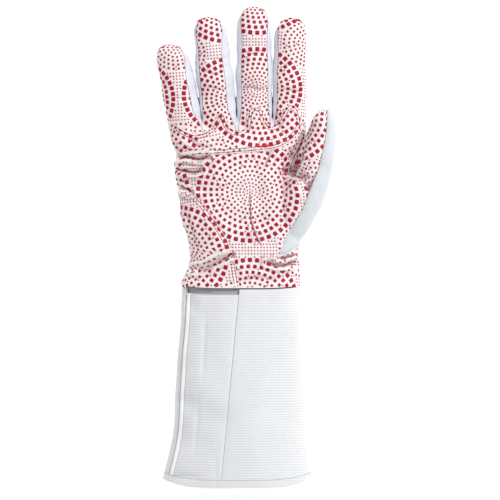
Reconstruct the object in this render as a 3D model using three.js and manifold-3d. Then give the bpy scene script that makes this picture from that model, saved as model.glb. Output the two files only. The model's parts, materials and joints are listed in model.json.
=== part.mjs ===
// A right-hand fencing glove lying on its back, palm up, as an assembly of hollow sewn panels.
// Millimetres. +Y runs from the cuff to the fingertips, +X to the thumb side, +Z up out of the palm.
// The floor is at z = 0, and the origin is under the middle of the glove.
import * as THREE from "three";
import { mergeVertices } from "three/addons/utils/BufferGeometryUtils.js";
import Module from "manifold-3d";

const wasm = await Module();
wasm.setup();

// Driving dimensions of the hand
const handLength = 210; // wrist seam to the tip of the middle finger
const palmLength = 121; // wrist seam to the webs between the fingers
const palmWidth = 104; // across the knuckles
const palmDepth = 27; // thickness at the knuckles
const palmCup = 2.5; // how far the middle of the palm sinks
const fingerWidth = 26;
const fingerDepth = 20;
const fingertipRise = 6; // how far the fingertips lift off the floor
const fingerRoot = 16; // how far a finger's tube reaches down into the palm
const thumbWidth = 34.6; // at the ball of the thumb
const thumbTipLength = 20;

// Driving dimensions of the cuff
const cuffLength = 151; // wrist seam to the mouth
const mouthWidth = 112;
const mouthDepth = 54;
const mouthBow = 6.5; // how far the mouth's edge curves up at the two sides
const hemHeight = 6;
const slitBindingWidth = 2.4;
const slitGroove = 1.2; // open gap between the two edges of the slit
const slitInset = 3.6; // from the cuff's left outline to the middle of the slit
const underlapReach = 9; // how far the underlap runs under each edge of the slit

// Cloth and leather
const palmWall = 1.4;
const backWall = 2.6; // padded
const sideWall = 1.6;
const cuffWall = 2;
const patchWall = 1.2;
const bindingProud = 0.5; // how far a binding stands out of its panel
const bandWall = 1.6;
const underlapWall = 1.4;
const hemProud = 0.4; // how far the hem stands out of the cuff
const seamGap = 0.3; // clearance between neighbouring pieces

// The fourchettes, the side strips of the fingers
const fourchetteUp = 6.6; // above the finger's middle
const fourchetteDown = 5.2; // below it
const fourchetteTip = 9; // where the strip starts to taper, from the fingertip

// The wrist
const wristBow = 2.2; // how far the hand's lower edge curves up at the two sides
const bandShowing = 5; // band that shows over the inner front panel of the cuff
const bandHidden = 9; // band inside the hand, and inside the cuff
const wristJoint = 1; // gap over the cuff's other panels
const bandClearance = 0.5; // between the band and the panels round it
const patchEdge = 5; // from the patches' lower edge to the side seam

const floor = 0;
const far = 400; // reach of the cutting solids
const facetsOver = 18; // of the palm and the cuff, over their middle
const facetsUnder = 8;
const smallest = 0.04; // detail under this is dropped
const fingerSides = 12;
const squareness = 2.35; // of the palm and the cuff; 2 is an ellipse
const fingerSquareness = 2.15;

// The palm from the wrist to the webs. at is a share of palmLength, left and right are shares of
// palmWidth from the middle line, top is a share of palmDepth, and under is a share of the full drop
// from the middle down to the floor.
const palmSections = [
  { at: 0.0, left: -0.461, right: 0.402, top: 1.37, under: 1.12 },
  { at: 0.06, left: -0.445, right: 0.405, top: 1.33, under: 1.12 },
  { at: 0.12, left: -0.415, right: 0.41, top: 1.28, under: 1.12 },
  { at: 0.18, left: -0.397, right: 0.402, top: 1.25, under: 1.12 },
  { at: 0.25, left: -0.402, right: 0.4, top: 1.24, under: 1.12 },
  { at: 0.33, left: -0.42, right: 0.404, top: 1.24, under: 1.12 },
  { at: 0.42, left: -0.452, right: 0.414, top: 1.22, under: 1.12 },
  { at: 0.51, left: -0.468, right: 0.423, top: 1.19, under: 1.12 },
  { at: 0.6, left: -0.484, right: 0.431, top: 1.15, under: 1.12 },
  { at: 0.69, left: -0.505, right: 0.436, top: 1.11, under: 1.12 },
  { at: 0.77, left: -0.515, right: 0.44, top: 1.06, under: 1.12 },
  { at: 0.85, left: -0.517, right: 0.443, top: 1.0, under: 1.12 },
  { at: 0.93, left: -0.54, right: 0.447, top: 0.92, under: 1.12 },
  { at: 1.0, left: -0.55, right: 0.448, top: 0.82, under: 1.12 },
  { at: 1.045, left: -0.52, right: 0.42, top: 0.66, under: 0.55 },
];

// The fingers. root, tip and reach are shares of palmWidth and handLength, and width is a share of
// fingerWidth. lowSide and highSide are the tops of the side strips towards the little finger and
// towards the thumb, as shares of fourchetteUp.
const fingers = [
  { name: "little", root: -0.398, tip: -0.548, reach: 0.883, width: 1.02,
    lowSide: 0, highSide: 1.34 },
  { name: "ring", root: -0.17, tip: -0.263, reach: 0.981, width: 1.03,
    lowSide: 0.95, highSide: 1.3 },
  { name: "middle", root: 0.072, tip: 0.065, reach: 1.0, width: 1.0,
    lowSide: 1.12, highSide: 0.98 },
  { name: "index", root: 0.326, tip: 0.336, reach: 0.981, width: 0.97,
    lowSide: 0.98, highSide: 0 },
];

// A finger's girth between its root and the start of its round tip, as shares of its length and girth.
const fingerGirth = [
  { at: 0, width: 0.94, depth: 1.08 },
  { at: 0.24, width: 1.03, depth: 1.04 },
  { at: 0.42, width: 0.99, depth: 0.98 },
  { at: 0.62, width: 1.0, depth: 1.0 },
  { at: 0.82, width: 0.95, depth: 0.95 },
  { at: 1, width: 0.93, depth: 0.92 },
];

// The thumb's middle line, as shares of palmWidth, palmLength and palmDepth, and its girth there.
const thumbLine = [
  { across: 0.25, along: 0.27, up: 0.56, girth: 0.7 },
  { across: 0.345, along: 0.4, up: 0.6, girth: 0.94 },
  { across: 0.41, along: 0.54, up: 0.66, girth: 1 },
  { across: 0.478, along: 0.71, up: 0.76, girth: 0.91 },
  { across: 0.53, along: 0.88, up: 0.87, girth: 0.8 },
  { across: 0.588, along: 1.138, up: 1.0, girth: 0.62 },
];

// The cuff's flare from the wrist to the mouth, as a share of cuffLength and of the whole flare.
const cuffFlare = [
  { at: 0, flare: 0 },
  { at: 0.18, flare: 0.1 },
  { at: 0.36, flare: 0.26 },
  { at: 0.55, flare: 0.38 },
  { at: 0.73, flare: 0.5 },
  { at: 0.86, flare: 0.74 },
  { at: 0.94, flare: 0.93 },
  { at: 1, flare: 1.06 },
];

// The main folds and dents of the upper side. x and y are the middle of a fold as shares of the width
// and length of the palm, or of the cuff. length and width are shares of that width, depth is a share
// of palmDepth, turn is in degrees from straight across, and a negative depth is a ridge.
const handFolds = [
  { x: 0.115, y: 0.54, turn: 97, length: 0.6, width: 0.067, depth: 0.067 },
  { x: 0.19, y: 0.84, turn: 118, length: 0.29, width: 0.067, depth: 0.059 },
  { x: -0.47, y: 0.86, turn: 12, length: 0.33, width: 0.043, depth: 0.074 },
  { x: -0.46, y: 0.76, turn: -6, length: 0.38, width: 0.043, depth: 0.081 },
  { x: -0.44, y: 0.65, turn: -14, length: 0.33, width: 0.043, depth: 0.059 },
  { x: -0.22, y: 0.14, turn: 27, length: 0.38, width: 0.048, depth: 0.089 },
  { x: 0.33, y: 0.17, turn: -22, length: 0.25, width: 0.048, depth: 0.089 },
  { x: 0.06, y: 0.06, turn: 4, length: 0.58, width: 0.048, depth: 0.044 },
  { x: 0.31, y: 0.74, turn: 76, length: 0.35, width: 0.058, depth: 0.111 },
  { x: 0.24, y: 0.36, turn: 60, length: 0.42, width: 0.115, depth: -0.074 },
  { x: -0.27, y: 0.34, turn: 110, length: 0.44, width: 0.125, depth: -0.074 },
];
const cuffFolds = [
  { x: -0.31, y: 0.3, turn: 88, length: 1.0, width: 0.08, depth: 0.044 },
  { x: -0.23, y: 0.66, turn: 3, length: 0.3, width: 0.09, depth: 0.059 },
  { x: -0.4, y: 0.77, turn: -8, length: 0.3, width: 0.09, depth: 0.081 },
  { x: 0.3, y: 0.45, turn: 84, length: 0.9, width: 0.16, depth: 0.052 },
  { x: 0.02, y: 0.8, turn: 94, length: 0.6, width: 0.2, depth: -0.059 },
];

// Seam lines seen from above, as shares of palmWidth and palmLength.
const thumbBackSeam = [
  [0.6, 1.6], [0.6, 1.13], [0.594, 0.99], [0.57, 0.866], [0.534, 0.741], [0.49, 0.647],
  [0.453, 0.553], [0.402, 0.459], [0.329, 0.352], [0.27, 0.264], [0.243, 0.205], [0.262, 0.185],
  [0.31, 0.189], [0.37, 0.222], [0.5, 0.33], [1.5, 0.33],
];
const crookSeam = [
  [0.456, 1.8], [0.456, 1.03], [0.424, 0.973], [0.373, 0.866], [0.325, 0.773], [0.321, 0.722],
  [0.385, 0.69], [0.455, 0.65], [0.54, 0.61], [1.5, 0.61],
];
const thumbUnderSeam = [[0.458, 1.8], [0.458, 1.0], [0.44, 0.6], [0.4, 0.24], [1.5, 0.24]];
const yokeOutline = [
  [-0.6, 1.005], [-0.5, 0.995], [-0.43, 0.965], [-0.37, 0.945], [-0.3, 0.952], [-0.24, 1.01],
  [-0.2, 1.08], [-0.165, 1.1], [-0.12, 1.06], [-0.07, 0.985], [-0.01, 0.982], [0.03, 1.04],
  [0.065, 1.11], [0.11, 1.07], [0.15, 1.015], [0.21, 1.0], [0.265, 1.06], [0.31, 1.12],
  [0.355, 1.1], [0.39, 1.03], [0.385, 0.945], [0.33, 0.9], [0.21, 0.875], [0.0, 0.857],
  [-0.2, 0.84], [-0.4, 0.85], [-0.5, 0.885], [-0.6, 0.94],
];
const heelSeam = [
  [-0.7, 0.66], [-0.5, 0.645], [-0.38, 0.59], [-0.28, 0.5], [-0.2, 0.4], [-0.125, 0.29],
  [-0.085, 0.2], [-0.06, 0.09], [-0.035, -0.02],
];

// The middle front seam and the slit of the cuff, across at the wrist and at the mouth.
const frontSeamAtWrist = -0.04; // share of palmWidth
const frontSeamAtMouth = -0.165; // share of mouthWidth

const share = (table, at, key) => {
  const next = table.findIndex((row) => row.at >= at);
  if (next < 0) return table.at(-1)[key];
  if (next === 0) return table[0][key];
  const [a, b] = [table[next - 1], table[next]];
  return a[key] + ((b[key] - a[key]) * (at - a.at)) / (b.at - a.at);
};
const steps = (count) => Array.from({ length: count + 1 }, (_, i) => i / count);
const signedPower = (value, power) => Math.sign(value) * Math.abs(value) ** power;

// Solids are made from closed geometries and joined or cut as manifolds.
function solid(geometry) {
  const bare = new THREE.BufferGeometry().setAttribute("position", geometry.getAttribute("position"));
  if (geometry.index) bare.setIndex(geometry.index);
  const merged = mergeVertices(bare, 1e-4);
  return new wasm.Manifold(
    new wasm.Mesh({
      numProp: 3,
      vertProperties: new Float32Array(merged.attributes.position.array),
      triVerts: new Uint32Array(merged.index.array),
    }),
  );
}

// A solid lofted through rings of points that run anticlockwise seen from -Y, capped at both ends.
function loft(rings) {
  const sides = rings[0].length;
  const geometry = new THREE.BufferGeometry().setFromPoints(rings.flat());
  const index = [];
  for (let r = 0; r < rings.length - 1; r++)
    for (let k = 0; k < sides; k++) {
      const a = r * sides + k;
      const b = r * sides + ((k + 1) % sides);
      index.push(a, a + sides, b, b, a + sides, b + sides);
    }
  const last = (rings.length - 1) * sides;
  for (let k = 1; k < sides - 1; k++) index.push(0, k, k + 1, last, last + k + 1, last + k);
  return solid(geometry.setIndex(index));
}

// An outline seen from above, as a prism through the whole height.
function prism(points, low = -far, high = far) {
  const shape = new THREE.Shape(points.map(([x, y]) => new THREE.Vector2(x, y)));
  const geometry = new THREE.ExtrudeGeometry(shape, { depth: high - low, bevelEnabled: false });
  return solid(geometry.translate(0, 0, low));
}

// An outline seen from the thumb side, of [y, z] points, run across from x = low to x = high.
function crossPrism(points, low = -far, high = far) {
  const shape = new THREE.Shape(points.map(([y, z]) => new THREE.Vector2(y, z)));
  const geometry = new THREE.ExtrudeGeometry(shape, { depth: high - low, bevelEnabled: false });
  const turn = new THREE.Matrix4().makeBasis(
    new THREE.Vector3(0, 1, 0), new THREE.Vector3(0, 0, 1), new THREE.Vector3(1, 0, 0),
  );
  return solid(geometry.translate(0, 0, low).applyMatrix4(turn));
}

// A line moved sideways by a distance, to its left as it runs.
function shifted(line, distance) {
  return line.map(([x, y], i) => {
    const [ax, ay] = line[Math.max(i - 1, 0)];
    const [bx, by] = line[Math.min(i + 1, line.length - 1)];
    const length = Math.hypot(bx - ax, by - ay);
    return [x - ((by - ay) * distance) / length, y + ((bx - ax) * distance) / length];
  });
}
const onHand = (line) => line.map(([x, y]) => [x * palmWidth, y * palmLength]);

// Heights of the hand: its top, and the middle where its front and back panels meet.
const palmTop = (y) => palmDepth * share(palmSections, y / palmLength, "top");
const fingerStart = palmLength - fingerRoot;
const fingerMid = (y) => {
  const along = THREE.MathUtils.clamp((y - fingerStart) / (handLength - fingerStart), 0, 1);
  return fingerDepth * 0.56 + fingertipRise * along ** 1.5;
};
const handMid = (y) => {
  const along = THREE.MathUtils.clamp(y / fingerStart, 0, 1);
  return THREE.MathUtils.lerp(palmTop(0) * 0.46, fingerMid(y), along);
};

// How deep the folds are at a point, where width and length are what their sizes are shares of.
function foldDepth(folds, x, y, width, length) {
  const depths = folds.map((fold) => {
    const turn = THREE.MathUtils.degToRad(fold.turn);
    const dx = x - fold.x * width;
    const dy = y - fold.y * length;
    const along = (dx * Math.cos(turn) + dy * Math.sin(turn)) / (fold.length * width * 0.5);
    const across = (dy * Math.cos(turn) - dx * Math.sin(turn)) / (fold.width * width);
    return fold.depth * palmDepth * Math.exp(-(across ** 2) - along ** 4);
  });
  return depths.reduce((all, depth) => all + depth, 0);
}

// One section of the palm or cuff, grown by a distance; a negative one is inside the wall.
const ringAngles = [
  ...steps(facetsOver).slice(0, -1).map((s) => Math.PI * s),
  ...steps(facetsUnder).slice(0, -1).map((s) => Math.PI * (1 + s)),
];
function flatSection({ left, right, top, y, mid, under = 1.12 }, grow, bow, dentAt) {
  const half = (right - left) / 2;
  return ringAngles.map((angle) => {
    const across = signedPower(Math.cos(angle), 2 / squareness);
    const rise = signedPower(Math.sin(angle), 2 / squareness);
    const up = rise > 0 ? top - mid + grow.up : mid * under + grow.down;
    const x = (right + left) / 2 + (half + grow.side) * across;
    const bowed = y + bow * across ** 4;
    const dent = Math.max(rise, 0) * dentAt(x, bowed, across);
    return new THREE.Vector3(x, bowed, Math.max(mid + up * rise - dent, floor - grow.down));
  });
}

const skin = { side: 0, up: 0, down: 0 };
const handInside = { side: -sideWall, up: -palmWall, down: -backWall };
const proudBy = (distance) => ({ side: distance, up: distance, down: 0 });
const insideBy = (distance) => ({ side: -distance, up: -distance, down: -distance });

// The palm's section at a share of palmLength; below the wrist it runs straight on.
function palmRing(at, grow, y) {
  const row = (key) => share(palmSections, at, key);
  const cup = palmCup * Math.sin(Math.PI * THREE.MathUtils.clamp((at - 0.15) / 0.75, 0, 1));
  return flatSection(
    {
      left: row("left") * palmWidth, right: row("right") * palmWidth, top: row("top") * palmDepth,
      y, mid: handMid(at * palmLength), under: row("under"),
    },
    grow,
    wristBow * Math.max(1 - at / 0.15, 0),
    (x, where, across) =>
      cup * (1 - across * across) ** 2 + foldDepth(handFolds, x, where, palmWidth, palmLength),
  );
}
function palmLoft(grow, endInset, startY) {
  const last = palmSections.length - 1;
  const rings = palmSections.map(({ at }, i) =>
    palmRing(at, grow, at * palmLength - (i === last ? endInset : 0)),
  );
  if (startY < 0) rings.unshift(palmRing(0, grow, startY));
  return loft(rings);
}

// A finger: straight stations, then a round tip.
function fingerLoft(finger, grow, tipInset) {
  const tipY = finger.reach * handLength - tipInset;
  const tipRadius = (fingerWidth * finger.width) / 2;
  const straight = tipY - tipRadius - fingerStart;
  const ring = (y, width, depth, squeeze) => {
    const along = (y - fingerStart) / (finger.reach * handLength - fingerStart);
    const x = palmWidth * THREE.MathUtils.lerp(finger.root, finger.tip, along);
    const half = (fingerWidth * finger.width * width) / 2 + grow.side;
    const up = (fingerDepth * depth) / 2;
    return Array.from({ length: fingerSides }, (_, k) => {
      const angle = (2 * Math.PI * k) / fingerSides;
      const across = signedPower(Math.cos(angle), 2 / fingerSquareness);
      const rise = signedPower(Math.sin(angle), 2 / fingerSquareness);
      const reach = rise > 0 ? up + grow.up : up + grow.down;
      const z = fingerMid(y) + squeeze * reach * rise;
      return new THREE.Vector3(x + squeeze * half * across, y, Math.max(z, floor - grow.down));
    });
  };
  const rings = fingerGirth.map((row) =>
    ring(fingerStart + row.at * straight, row.width, row.depth, 1),
  );
  const end = fingerGirth.at(-1);
  for (const degrees of [34, 58, 78]) {
    const angle = THREE.MathUtils.degToRad(degrees);
    const y = tipY - tipRadius + tipRadius * Math.sin(angle);
    rings.push(ring(y, end.width, end.depth, Math.cos(angle)));
  }
  return loft(rings);
}

// The thumb: round sections square to its middle line.
const thumbPoint = (row) =>
  new THREE.Vector3(row.across * palmWidth, row.along * palmLength, row.up * palmDepth);
const thumbCurve = new THREE.CatmullRomCurve3(thumbLine.map(thumbPoint), false, "centripetal");
function thumbLoft(wall) {
  const length = thumbCurve.getLength();
  const last = 1 - (thumbTipLength + wall) / length;
  const girthAt = (t) => {
    const place = t * (thumbLine.length - 1);
    const low = Math.min(Math.floor(place), thumbLine.length - 2);
    const girth = THREE.MathUtils.lerp(thumbLine[low].girth, thumbLine[low + 1].girth, place - low);
    return (thumbWidth * girth) / 2 - wall;
  };
  const stations = steps(7).map((s) => ({ t: s * last, squeeze: 1 }));
  for (const degrees of [32, 56, 76]) {
    const angle = THREE.MathUtils.degToRad(degrees);
    stations.push({ t: last + (thumbTipLength * Math.sin(angle)) / length, squeeze: Math.cos(angle) });
  }
  return loft(
    stations.map(({ t, squeeze }) => {
      const centre = thumbCurve.getPoint(t);
      const forward = thumbCurve.getTangent(t);
      const side = new THREE.Vector3(0, 0, 1).cross(forward).negate().normalize();
      const up = new THREE.Vector3().crossVectors(side, forward);
      const radius = girthAt(t) * squeeze;
      return Array.from({ length: fingerSides }, (_, k) => {
        const angle = (2 * Math.PI * k) / fingerSides;
        const point = centre.clone();
        point.addScaledVector(side, radius * Math.cos(angle));
        point.addScaledVector(up, radius * Math.sin(angle));
        point.z = Math.max(point.z, floor + wall);
        return point;
      });
    }),
  );
}

function handSolid(grow, wall, startY = 0) {
  const tubes = fingers.map((finger) => fingerLoft(finger, grow, wall));
  return [...tubes, thumbLoft(wall)].reduce((all, tube) => all.add(tube), palmLoft(grow, wall, startY));
}
// The cuff: its sections between the wrist and the mouth, and the bow of its edges at the sides.
const cuffAt = (at) => {
  const flare = share(cuffFlare, at, "flare");
  const wrist = palmSections[0];
  return {
    left: THREE.MathUtils.lerp(wrist.left * palmWidth, -mouthWidth * 0.55, flare),
    right: THREE.MathUtils.lerp(wrist.right * palmWidth, mouthWidth * 0.45, flare),
    top: THREE.MathUtils.lerp(palmTop(0), mouthDepth, at),
    mid: THREE.MathUtils.lerp(handMid(0), mouthDepth * 0.48, at),
    y: -at * cuffLength,
  };
};
const cuffBow = (at) => wristBow * Math.max(1 - at * 5, 0) + mouthBow * at ** 4;
const cuffDent = ({ left, right }) => (x, y) => foldDepth(cuffFolds, x, -y, right - left, cuffLength);
const cuffStations = [0, 0.12, 0.24, 0.36, 0.48, 0.6, 0.7, 0.8, 0.9, 1];
function cuffLoft(grow, overrun = 0) {
  const ring = (at, lift) => {
    const row = cuffAt(at);
    return flatSection({ ...row, y: row.y + lift }, grow, cuffBow(at), cuffDent(row));
  };
  const rings = cuffStations.map((at) => ring(at, at === 0 ? -wristJoint : 0));
  if (overrun > 0) rings.unshift(ring(0, overrun));
  if (overrun > 0) rings.push(ring(1, -overrun));
  return loft(rings.reverse());
}

// Cutting regions of the cuff. Lines run up the cuff, from the mouth to the wrist.
const slitLine = (offset) => [
  [cuffAt(1).left + slitInset + offset, -far],
  ...cuffStations.toReversed().map((at) => [cuffAt(at).left + slitInset + offset, -at * cuffLength]),
  [cuffAt(0).left + slitInset + offset, far],
];
const frontSeam = (offset) => [
  [frontSeamAtMouth * mouthWidth + offset, -far],
  [frontSeamAtMouth * mouthWidth + offset, -cuffLength],
  [frontSeamAtWrist * palmWidth + offset, 0],
  [frontSeamAtWrist * palmWidth + offset, far],
];
const rightOf = (line) => prism([...line.toReversed(), line[0], [far, -far], [far, far]]);
const bowedRegion = (at, offset) => {
  const { left, right, y } = cuffAt(at);
  const edge = steps(16).map((s) => {
    const across = 2.5 * s - 1.25;
    const rise = cuffBow(at) * Math.min(Math.abs(across), 1) ** 4;
    return [(left + right) / 2 + ((right - left) / 2) * across, y + offset + rise];
  });
  return prism([...edge, [far, edge.at(-1)[1]], [far, far], [-far, far], [-far, edge[0][1]]]);
};
const overCuff = (offset) =>
  crossPrism([
    [-far, mouthDepth * 0.48 + offset], [-cuffLength, mouthDepth * 0.48 + offset],
    [0, handMid(0) + offset], [far, handMid(0) + offset], [far, far], [-far, far],
  ]);

// The surface where the hand's front and back panels meet, and everything over it.
const overHand = (offset) => {
  const rows = [-far, 0, ...steps(8).map((s) => fingerStart + s * (handLength - fingerStart)), far];
  return crossPrism([...rows.map((y) => [y, handMid(y) + offset]), [far, far], [-far, far]]);
};

// The side strips between two neighbouring fingers, as the region that cuts them out of the hand.
function fourchetteRegion(a, b, gap) {
  const low = palmLength - fingerRoot / 2;
  const centre = (finger, y) => {
    const along = (y - fingerStart) / (finger.reach * handLength - fingerStart);
    return palmWidth * THREE.MathUtils.lerp(finger.root, finger.tip, along);
  };
  const middle = (y) => (centre(a, y) + centre(b, y)) / 2;
  const half = (finger, overlap) => {
    const tipY = finger.reach * handLength;
    const outline = [
      [centre(finger, low), low], [middle(low) + overlap, low],
      [middle(tipY) + overlap, tipY], [centre(finger, tipY), tipY],
    ];
    const taper = [low, palmLength, (palmLength + tipY) / 2, tipY - fourchetteTip - fingerWidth / 3];
    const high = fourchetteUp * (finger === a ? finger.highSide : finger.lowSide) + gap;
    return prism(finger === a ? outline : outline.toReversed()).intersect(
      crossPrism([
        ...taper.map((y) => [y, fingerMid(y) - fourchetteDown - gap]),
        [tipY - fingerWidth / 6 + gap, fingerMid(tipY)],
        ...taper.toReversed().map((y) => [y, fingerMid(y) + high]),
      ]),
    );
  };
  return half(a, seamGap).add(half(b, -seamGap));
}

// The thumb's regions, right of their seam lines. The back of the thumb wraps under it.
const eastOf = (line, gap) => {
  const edge = shifted(onHand(line), -gap);
  return prism([[far, edge.at(-1)[1]], ...edge.toReversed(), [far, edge[0][1]]]);
};
const thumbBackRegion = (gap) => {
  const under = crossPrism([
    [-far, -far], [far, -far], [far, palmDepth * 0.95 + gap], [palmLength * 1.15, palmDepth * 0.95 + gap],
    [palmLength * 0.5, palmDepth * 0.6 + gap], [-far, palmDepth * 0.6 + gap],
  ]);
  return eastOf(thumbBackSeam, gap).add(eastOf(thumbUnderSeam, gap).intersect(under));
};

// Drops the slivers that a cut can leave beside a panel.
const largest = (cut) => cut.decompose().sort((a, b) => b.volume() - a.volume())[0];

// The hand's panels
const halfGap = seamGap / 2;
const handWall = handSolid(skin, 0).subtract(handSolid(handInside, sideWall, -bandHidden));
const fingerGaps = fingers.slice(1).map((finger, i) => [fingers[i], finger]);
const fourchetteCuts = fingerGaps
  .map(([a, b]) => fourchetteRegion(a, b, seamGap))
  .reduce((all, region) => all.add(region));
const besideThumb = handWall.subtract(thumbBackRegion(seamGap));
const handFront = besideThumb.intersect(overHand(halfGap));
const handBack = besideThumb.subtract(overHand(-halfGap));
const thumbFront = handFront.intersect(eastOf(crookSeam, 0));
const palmFront = handFront.subtract(eastOf(crookSeam, seamGap)).subtract(fourchetteCuts);

// The patches sewn over the palm
const patchSkin = handSolid(proudBy(seamGap + patchWall), -seamGap - patchWall)
  .subtract(handSolid(proudBy(seamGap), -seamGap, -bandHidden))
  .subtract(eastOf(crookSeam, seamGap + patchWall))
  .subtract(thumbBackRegion(seamGap + patchWall))
  .intersect(overHand(patchEdge));
const yoke = patchSkin.intersect(prism(onHand(yokeOutline).toReversed()));
const heelLine = onHand(heelSeam);
const heelOutline = [...heelLine, [heelLine.at(-1)[0], -far], [-far, -far], [-far, heelLine[0][1]]];
const heel = patchSkin.intersect(prism(heelOutline.toReversed()));

// The elastic band inside the wrist
const bandRings = (grow, end) => {
  const up = bandHidden + end;
  const down = (bandShowing + bandHidden + end) / cuffLength;
  const inner = [palmSections[2], palmSections[1]].filter(({ at }) => at * palmLength < up);
  const outer = cuffStations.filter((at) => at > 0 && at < down);
  const cuffRing = (at) => flatSection(cuffAt(at), grow, cuffBow(at), cuffDent(cuffAt(at)));
  return loft([
    cuffRing(down), ...outer.map(cuffRing), palmRing(0, grow, 0),
    ...inner.toReversed().map(({ at }) => palmRing(at, grow, at * palmLength)),
    palmRing(up / palmLength, grow, up),
  ]);
};
const bandInset = Math.max(sideWall, palmWall, cuffWall, backWall) + bandClearance;
const wristBand = bandRings(insideBy(bandInset), 0).subtract(
  bandRings(insideBy(bandInset + bandWall), 1),
);

// The cuff's panels
const cuffInside = cuffLoft(insideBy(cuffWall), hemHeight);
const cuffWallSolid = cuffLoft(skin).subtract(cuffInside).intersect(bowedRegion(1, hemHeight + halfGap));
const cuffFront = cuffWallSolid.intersect(overCuff(halfGap));
const hemRing = cuffLoft(proudBy(hemProud)).subtract(cuffInside);
const slitEdge = slitGroove / 2;
const cuffFrontOuter = cuffFront.intersect(rightOf(frontSeam(halfGap)));
const cuffFrontInner = cuffFront
  .intersect(rightOf(slitLine(slitEdge + slitBindingWidth + seamGap)))
  .subtract(rightOf(frontSeam(-halfGap)))
  .subtract(bowedRegion(0, -bandShowing));
const cuffBack = cuffWallSolid.subtract(overCuff(-halfGap).intersect(rightOf(slitLine(-slitEdge))));
const cuffHem = hemRing
  .subtract(bowedRegion(1, hemHeight - halfGap))
  .subtract(
    overCuff(0).intersect(
      rightOf(slitLine(-slitEdge)).subtract(rightOf(slitLine(slitEdge))),
    ),
  );
const slitBinding = cuffLoft(proudBy(bindingProud))
  .subtract(cuffInside)
  .intersect(overCuff(halfGap))
  .intersect(rightOf(slitLine(slitEdge)).subtract(rightOf(slitLine(slitEdge + slitBindingWidth))))
  .intersect(bowedRegion(1, hemHeight + halfGap))
  .subtract(bowedRegion(0, -bandShowing));
const underlap = cuffLoft(insideBy(cuffWall + seamGap))
  .subtract(cuffLoft(insideBy(cuffWall + seamGap + underlapWall), hemHeight))
  .intersect(rightOf(slitLine(-slitInset - underlapReach)))
  .subtract(rightOf(slitLine(underlapReach)))
  .intersect(overCuff(-underlapReach))
  .intersect(bowedRegion(1, hemHeight))
  .subtract(bowedRegion(0, -bandShowing - bandHidden - seamGap * 2));

const printedLeather = { color: 0xd9707f, roughness: 0.55 };
const whiteLeather = { color: 0xdcd8ea, roughness: 0.6 };
const whiteCloth = { color: 0xeeeef2, roughness: 0.85 };
const ribbedCloth = { color: 0xe6e7ec, roughness: 0.8 };
const greyElastic = { color: 0x77787f, roughness: 0.9 };
const pieces = [
  ["palm_front", palmFront, printedLeather],
  ["hand_back", handBack.subtract(fourchetteCuts), whiteCloth],
  ["thumb_front", thumbFront, printedLeather],
  ["thumb_back", handWall.intersect(thumbBackRegion(0)), whiteCloth],
  ...fingerGaps.map(([a, b]) => [
    `fourchette_${a.name}_${b.name}`, handWall.intersect(fourchetteRegion(a, b, 0)), whiteLeather,
  ]),
  ["yoke_patch", yoke, printedLeather],
  ["heel_patch", heel, printedLeather],
  ["wrist_band", wristBand, greyElastic],
  ["cuff_front_inner", cuffFrontInner, ribbedCloth],
  ["cuff_front_outer", cuffFrontOuter, ribbedCloth],
  ["cuff_back", cuffBack, ribbedCloth],
  ["cuff_hem", cuffHem, whiteCloth],
  ["slit_binding", slitBinding, whiteCloth],
  ["slit_underlap", underlap, whiteCloth],
];

const glove = new THREE.Group();
glove.name = "fencing_glove";
for (const [name, cut, look] of pieces) {
  const { numProp, vertProperties, triVerts } = largest(cut).simplify(smallest).getMesh();
  const geometry = new THREE.BufferGeometry();
  const buffer = new THREE.InterleavedBuffer(vertProperties, numProp);
  geometry.setAttribute("position", new THREE.InterleavedBufferAttribute(buffer, 3, 0));
  geometry.setIndex(new THREE.BufferAttribute(triVerts, 1));
  const flat = geometry.toNonIndexed();
  flat.computeVertexNormals();
  const mesh = new THREE.Mesh(flat, new THREE.MeshStandardMaterial(look));
  mesh.name = name;
  glove.add(mesh);
}

// The origin goes under the middle of the glove, at floor height.
const box = new THREE.Box3().setFromObject(glove);
const middle = box.getCenter(new THREE.Vector3());
for (const mesh of glove.children) mesh.geometry.translate(-middle.x, -middle.y, -box.min.z);

export default glove;
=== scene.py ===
import bpy
import bmesh
import json
import math
import time
import numpy as np
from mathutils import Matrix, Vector
from mathutils.bvhtree import BVHTree
from mathutils.kdtree import KDTree

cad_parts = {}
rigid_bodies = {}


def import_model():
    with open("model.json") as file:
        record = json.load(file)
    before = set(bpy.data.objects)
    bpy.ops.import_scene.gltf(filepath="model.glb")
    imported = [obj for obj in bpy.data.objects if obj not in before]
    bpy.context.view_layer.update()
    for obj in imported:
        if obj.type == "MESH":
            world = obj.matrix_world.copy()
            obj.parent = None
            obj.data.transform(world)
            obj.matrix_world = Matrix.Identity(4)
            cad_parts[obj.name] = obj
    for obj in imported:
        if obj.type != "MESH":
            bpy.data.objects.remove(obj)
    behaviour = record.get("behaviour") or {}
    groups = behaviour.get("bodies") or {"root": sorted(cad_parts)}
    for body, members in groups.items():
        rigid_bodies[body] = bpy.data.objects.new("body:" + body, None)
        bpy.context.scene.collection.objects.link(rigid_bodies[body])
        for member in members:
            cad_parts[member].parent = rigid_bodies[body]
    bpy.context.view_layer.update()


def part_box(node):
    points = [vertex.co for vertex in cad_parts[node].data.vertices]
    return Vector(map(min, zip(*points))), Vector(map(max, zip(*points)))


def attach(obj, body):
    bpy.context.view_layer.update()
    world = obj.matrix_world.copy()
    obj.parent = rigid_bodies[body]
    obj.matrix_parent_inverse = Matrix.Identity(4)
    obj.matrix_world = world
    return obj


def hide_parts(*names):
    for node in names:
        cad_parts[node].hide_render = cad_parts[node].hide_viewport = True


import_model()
started = time.time()

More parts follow.
